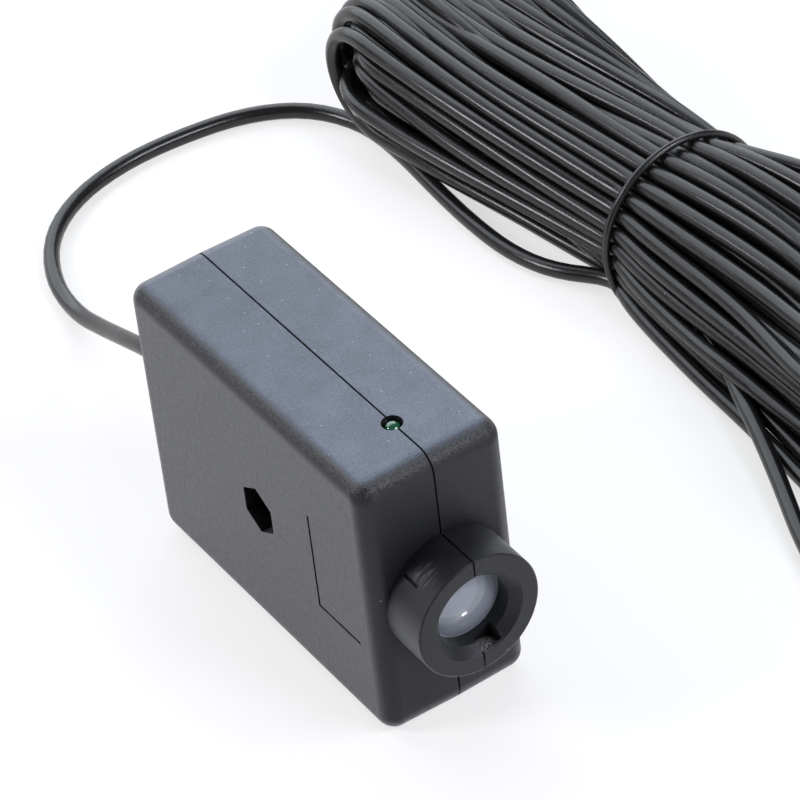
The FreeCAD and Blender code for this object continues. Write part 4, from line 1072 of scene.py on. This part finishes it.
def floor_surface(colour, glow):
    """Matt white that the camera, and what it sees in gloss and glass, finds brighter than it is lit."""
    surface = Surface("floor_white", colour, 0.9)
    surface.paint(surface.mottle(size=0.05, spread=0.012))
    surface.set("Specular IOR Level", 0.0)
    shine = surface.add("ShaderNodeEmission")
    mix = surface.add("ShaderNodeMixShader")
    close = surface.near((0.0, 0.0, 0.0), *FLOOR_GLOW_GROWS)
    glow = surface.remap(close, low=FLOOR_FAR_GLOW, high=glow, start=0.0, end=1.0)
    surface.join(surface.product(surface.seen(), glow), mix.inputs["Fac"])
    surface.join(surface.shader.outputs["BSDF"], mix.inputs[1])
    surface.join(shine.outputs["Emission"], mix.inputs[2])
    surface.join(mix.outputs["Shader"], surface.output.inputs["Surface"])
    return surface


def studio_world(fill):
    """Even light from all round, with a band above the horizon that is seen as white as the floor."""
    world = bpy.data.worlds.new("studio")
    world.use_nodes = True
    nodes = Shading(world.node_tree)
    background = nodes.add("ShaderNodeBackground")
    background.inputs["Color"].default_value = (1, 1, 1, 1)
    nodes.join(background.outputs["Background"], nodes.add("ShaderNodeOutputWorld").inputs["Surface"])
    upward = nodes.part(nodes.add("ShaderNodeTexCoord").outputs["Generated"], "Z")
    band = nodes.product(nodes.mask(upward, *HORIZON_BAND), nodes.seen())
    strength = nodes.remap(band, low=fill, high=1.0, start=0.0, end=1.0)
    nodes.join(strength, background.inputs["Strength"])
    return world


def add_floor(context, look):
    """A flat floor under the object."""
    bpy.ops.mesh.primitive_plane_add(size=FLOOR_WIDTH, location=(0, 0, 0))
    floor = context.object
    floor.name = "floor"
    floor.data.materials.append(floor_surface(look.floor_colour, look.floor_glow).material)


def add_lamp(context, name, place, target, width, height, power, colour):
    """A rectangular lamp that faces its target."""
    lamp = bpy.data.lights.new(name, "AREA")
    lamp.shape = "RECTANGLE"
    lamp.size = width
    lamp.size_y = height
    lamp.energy = power
    lamp.color = colour
    item = bpy.data.objects.new(name, lamp)
    item.location = place
    aim = Vector(target) - Vector(place)
    item.rotation_euler = aim.to_track_quat("-Z", "Y").to_euler()
    context.scene.collection.objects.link(item)


def add_camera(context, focal_length):
    """The camera of the main view."""
    right = Vector(CAMERA_RIGHT).normalized()
    back = right.cross(Vector(CAMERA_UP)).normalized()
    up = back.cross(right)
    data = bpy.data.cameras.new("camera")
    data.sensor_width = SENSOR_WIDTH
    data.lens = focal_length
    data.clip_start = CLIP_START
    camera = bpy.data.objects.new("camera", data)
    turn = Matrix((right, up, back)).transposed().to_4x4()
    camera.matrix_world = Matrix.Translation(Vector(CAMERA_PLACE) * MM) @ turn
    context.scene.collection.objects.link(camera)
    context.scene.camera = camera


class SENSOR_OT_stage(bpy.types.Operator):
    """Set up the floor, the light and the camera"""

    bl_idname = "sensor.stage"
    bl_label = "Stage"

    def execute(self, context):
        look = context.scene.sensor_stage
        context.scene.view_settings.view_transform = "Standard"
        add_floor(context, look)
        context.scene.world = studio_world(look.fill)
        for lamp in LAMPS:
            add_lamp(context, *lamp)
        add_camera(context, look.lens)
        return {"FINISHED"}


class SENSOR_PT_panel(bpy.types.Panel):
    """Sizes, colours and building steps"""

    bl_idname = "SENSOR_PT_panel"
    bl_label = "Sensor"
    bl_space_type = "VIEW_3D"
    bl_region_type = "UI"
    bl_category = "Sensor"

    def draw(self, context):
        for name, look in LOOKS.items():
            box = self.layout.box()
            for size in look.__annotations__:
                box.prop(getattr(context.scene, name), size)
        for operator in OPERATORS:
            self.layout.operator(operator.bl_idname)


LOOKS = {
    "sensor_housing": HousingLook, "sensor_optics": OpticsLook, "sensor_cord": CordLook,
    "sensor_stage": StageLook,
}
OPERATORS = (
    SENSOR_OT_housing, SENSOR_OT_optics, SENSOR_OT_electronics, SENSOR_OT_tie, SENSOR_OT_cord,
    SENSOR_OT_stage,
)


def register():
    for cls in (*LOOKS.values(), *OPERATORS, SENSOR_PT_panel):
        bpy.utils.register_class(cls)
    for name, look in LOOKS.items():
        setattr(bpy.types.Scene, name, bpy.props.PointerProperty(type=look))


def unregister():
    for name in LOOKS:
        delattr(bpy.types.Scene, name)
    for cls in reversed((*LOOKS.values(), *OPERATORS, SENSOR_PT_panel)):
        bpy.utils.unregister_class(cls)


def main():
    register()
    bpy.ops.sensor.housing()
    bpy.ops.sensor.optics()
    bpy.ops.sensor.electronics()
    bpy.ops.sensor.tie()
    bpy.ops.sensor.cord()
    bpy.ops.sensor.stage()
    bpy.context.view_layer.update()


if __name__ == "__main__":
    main()
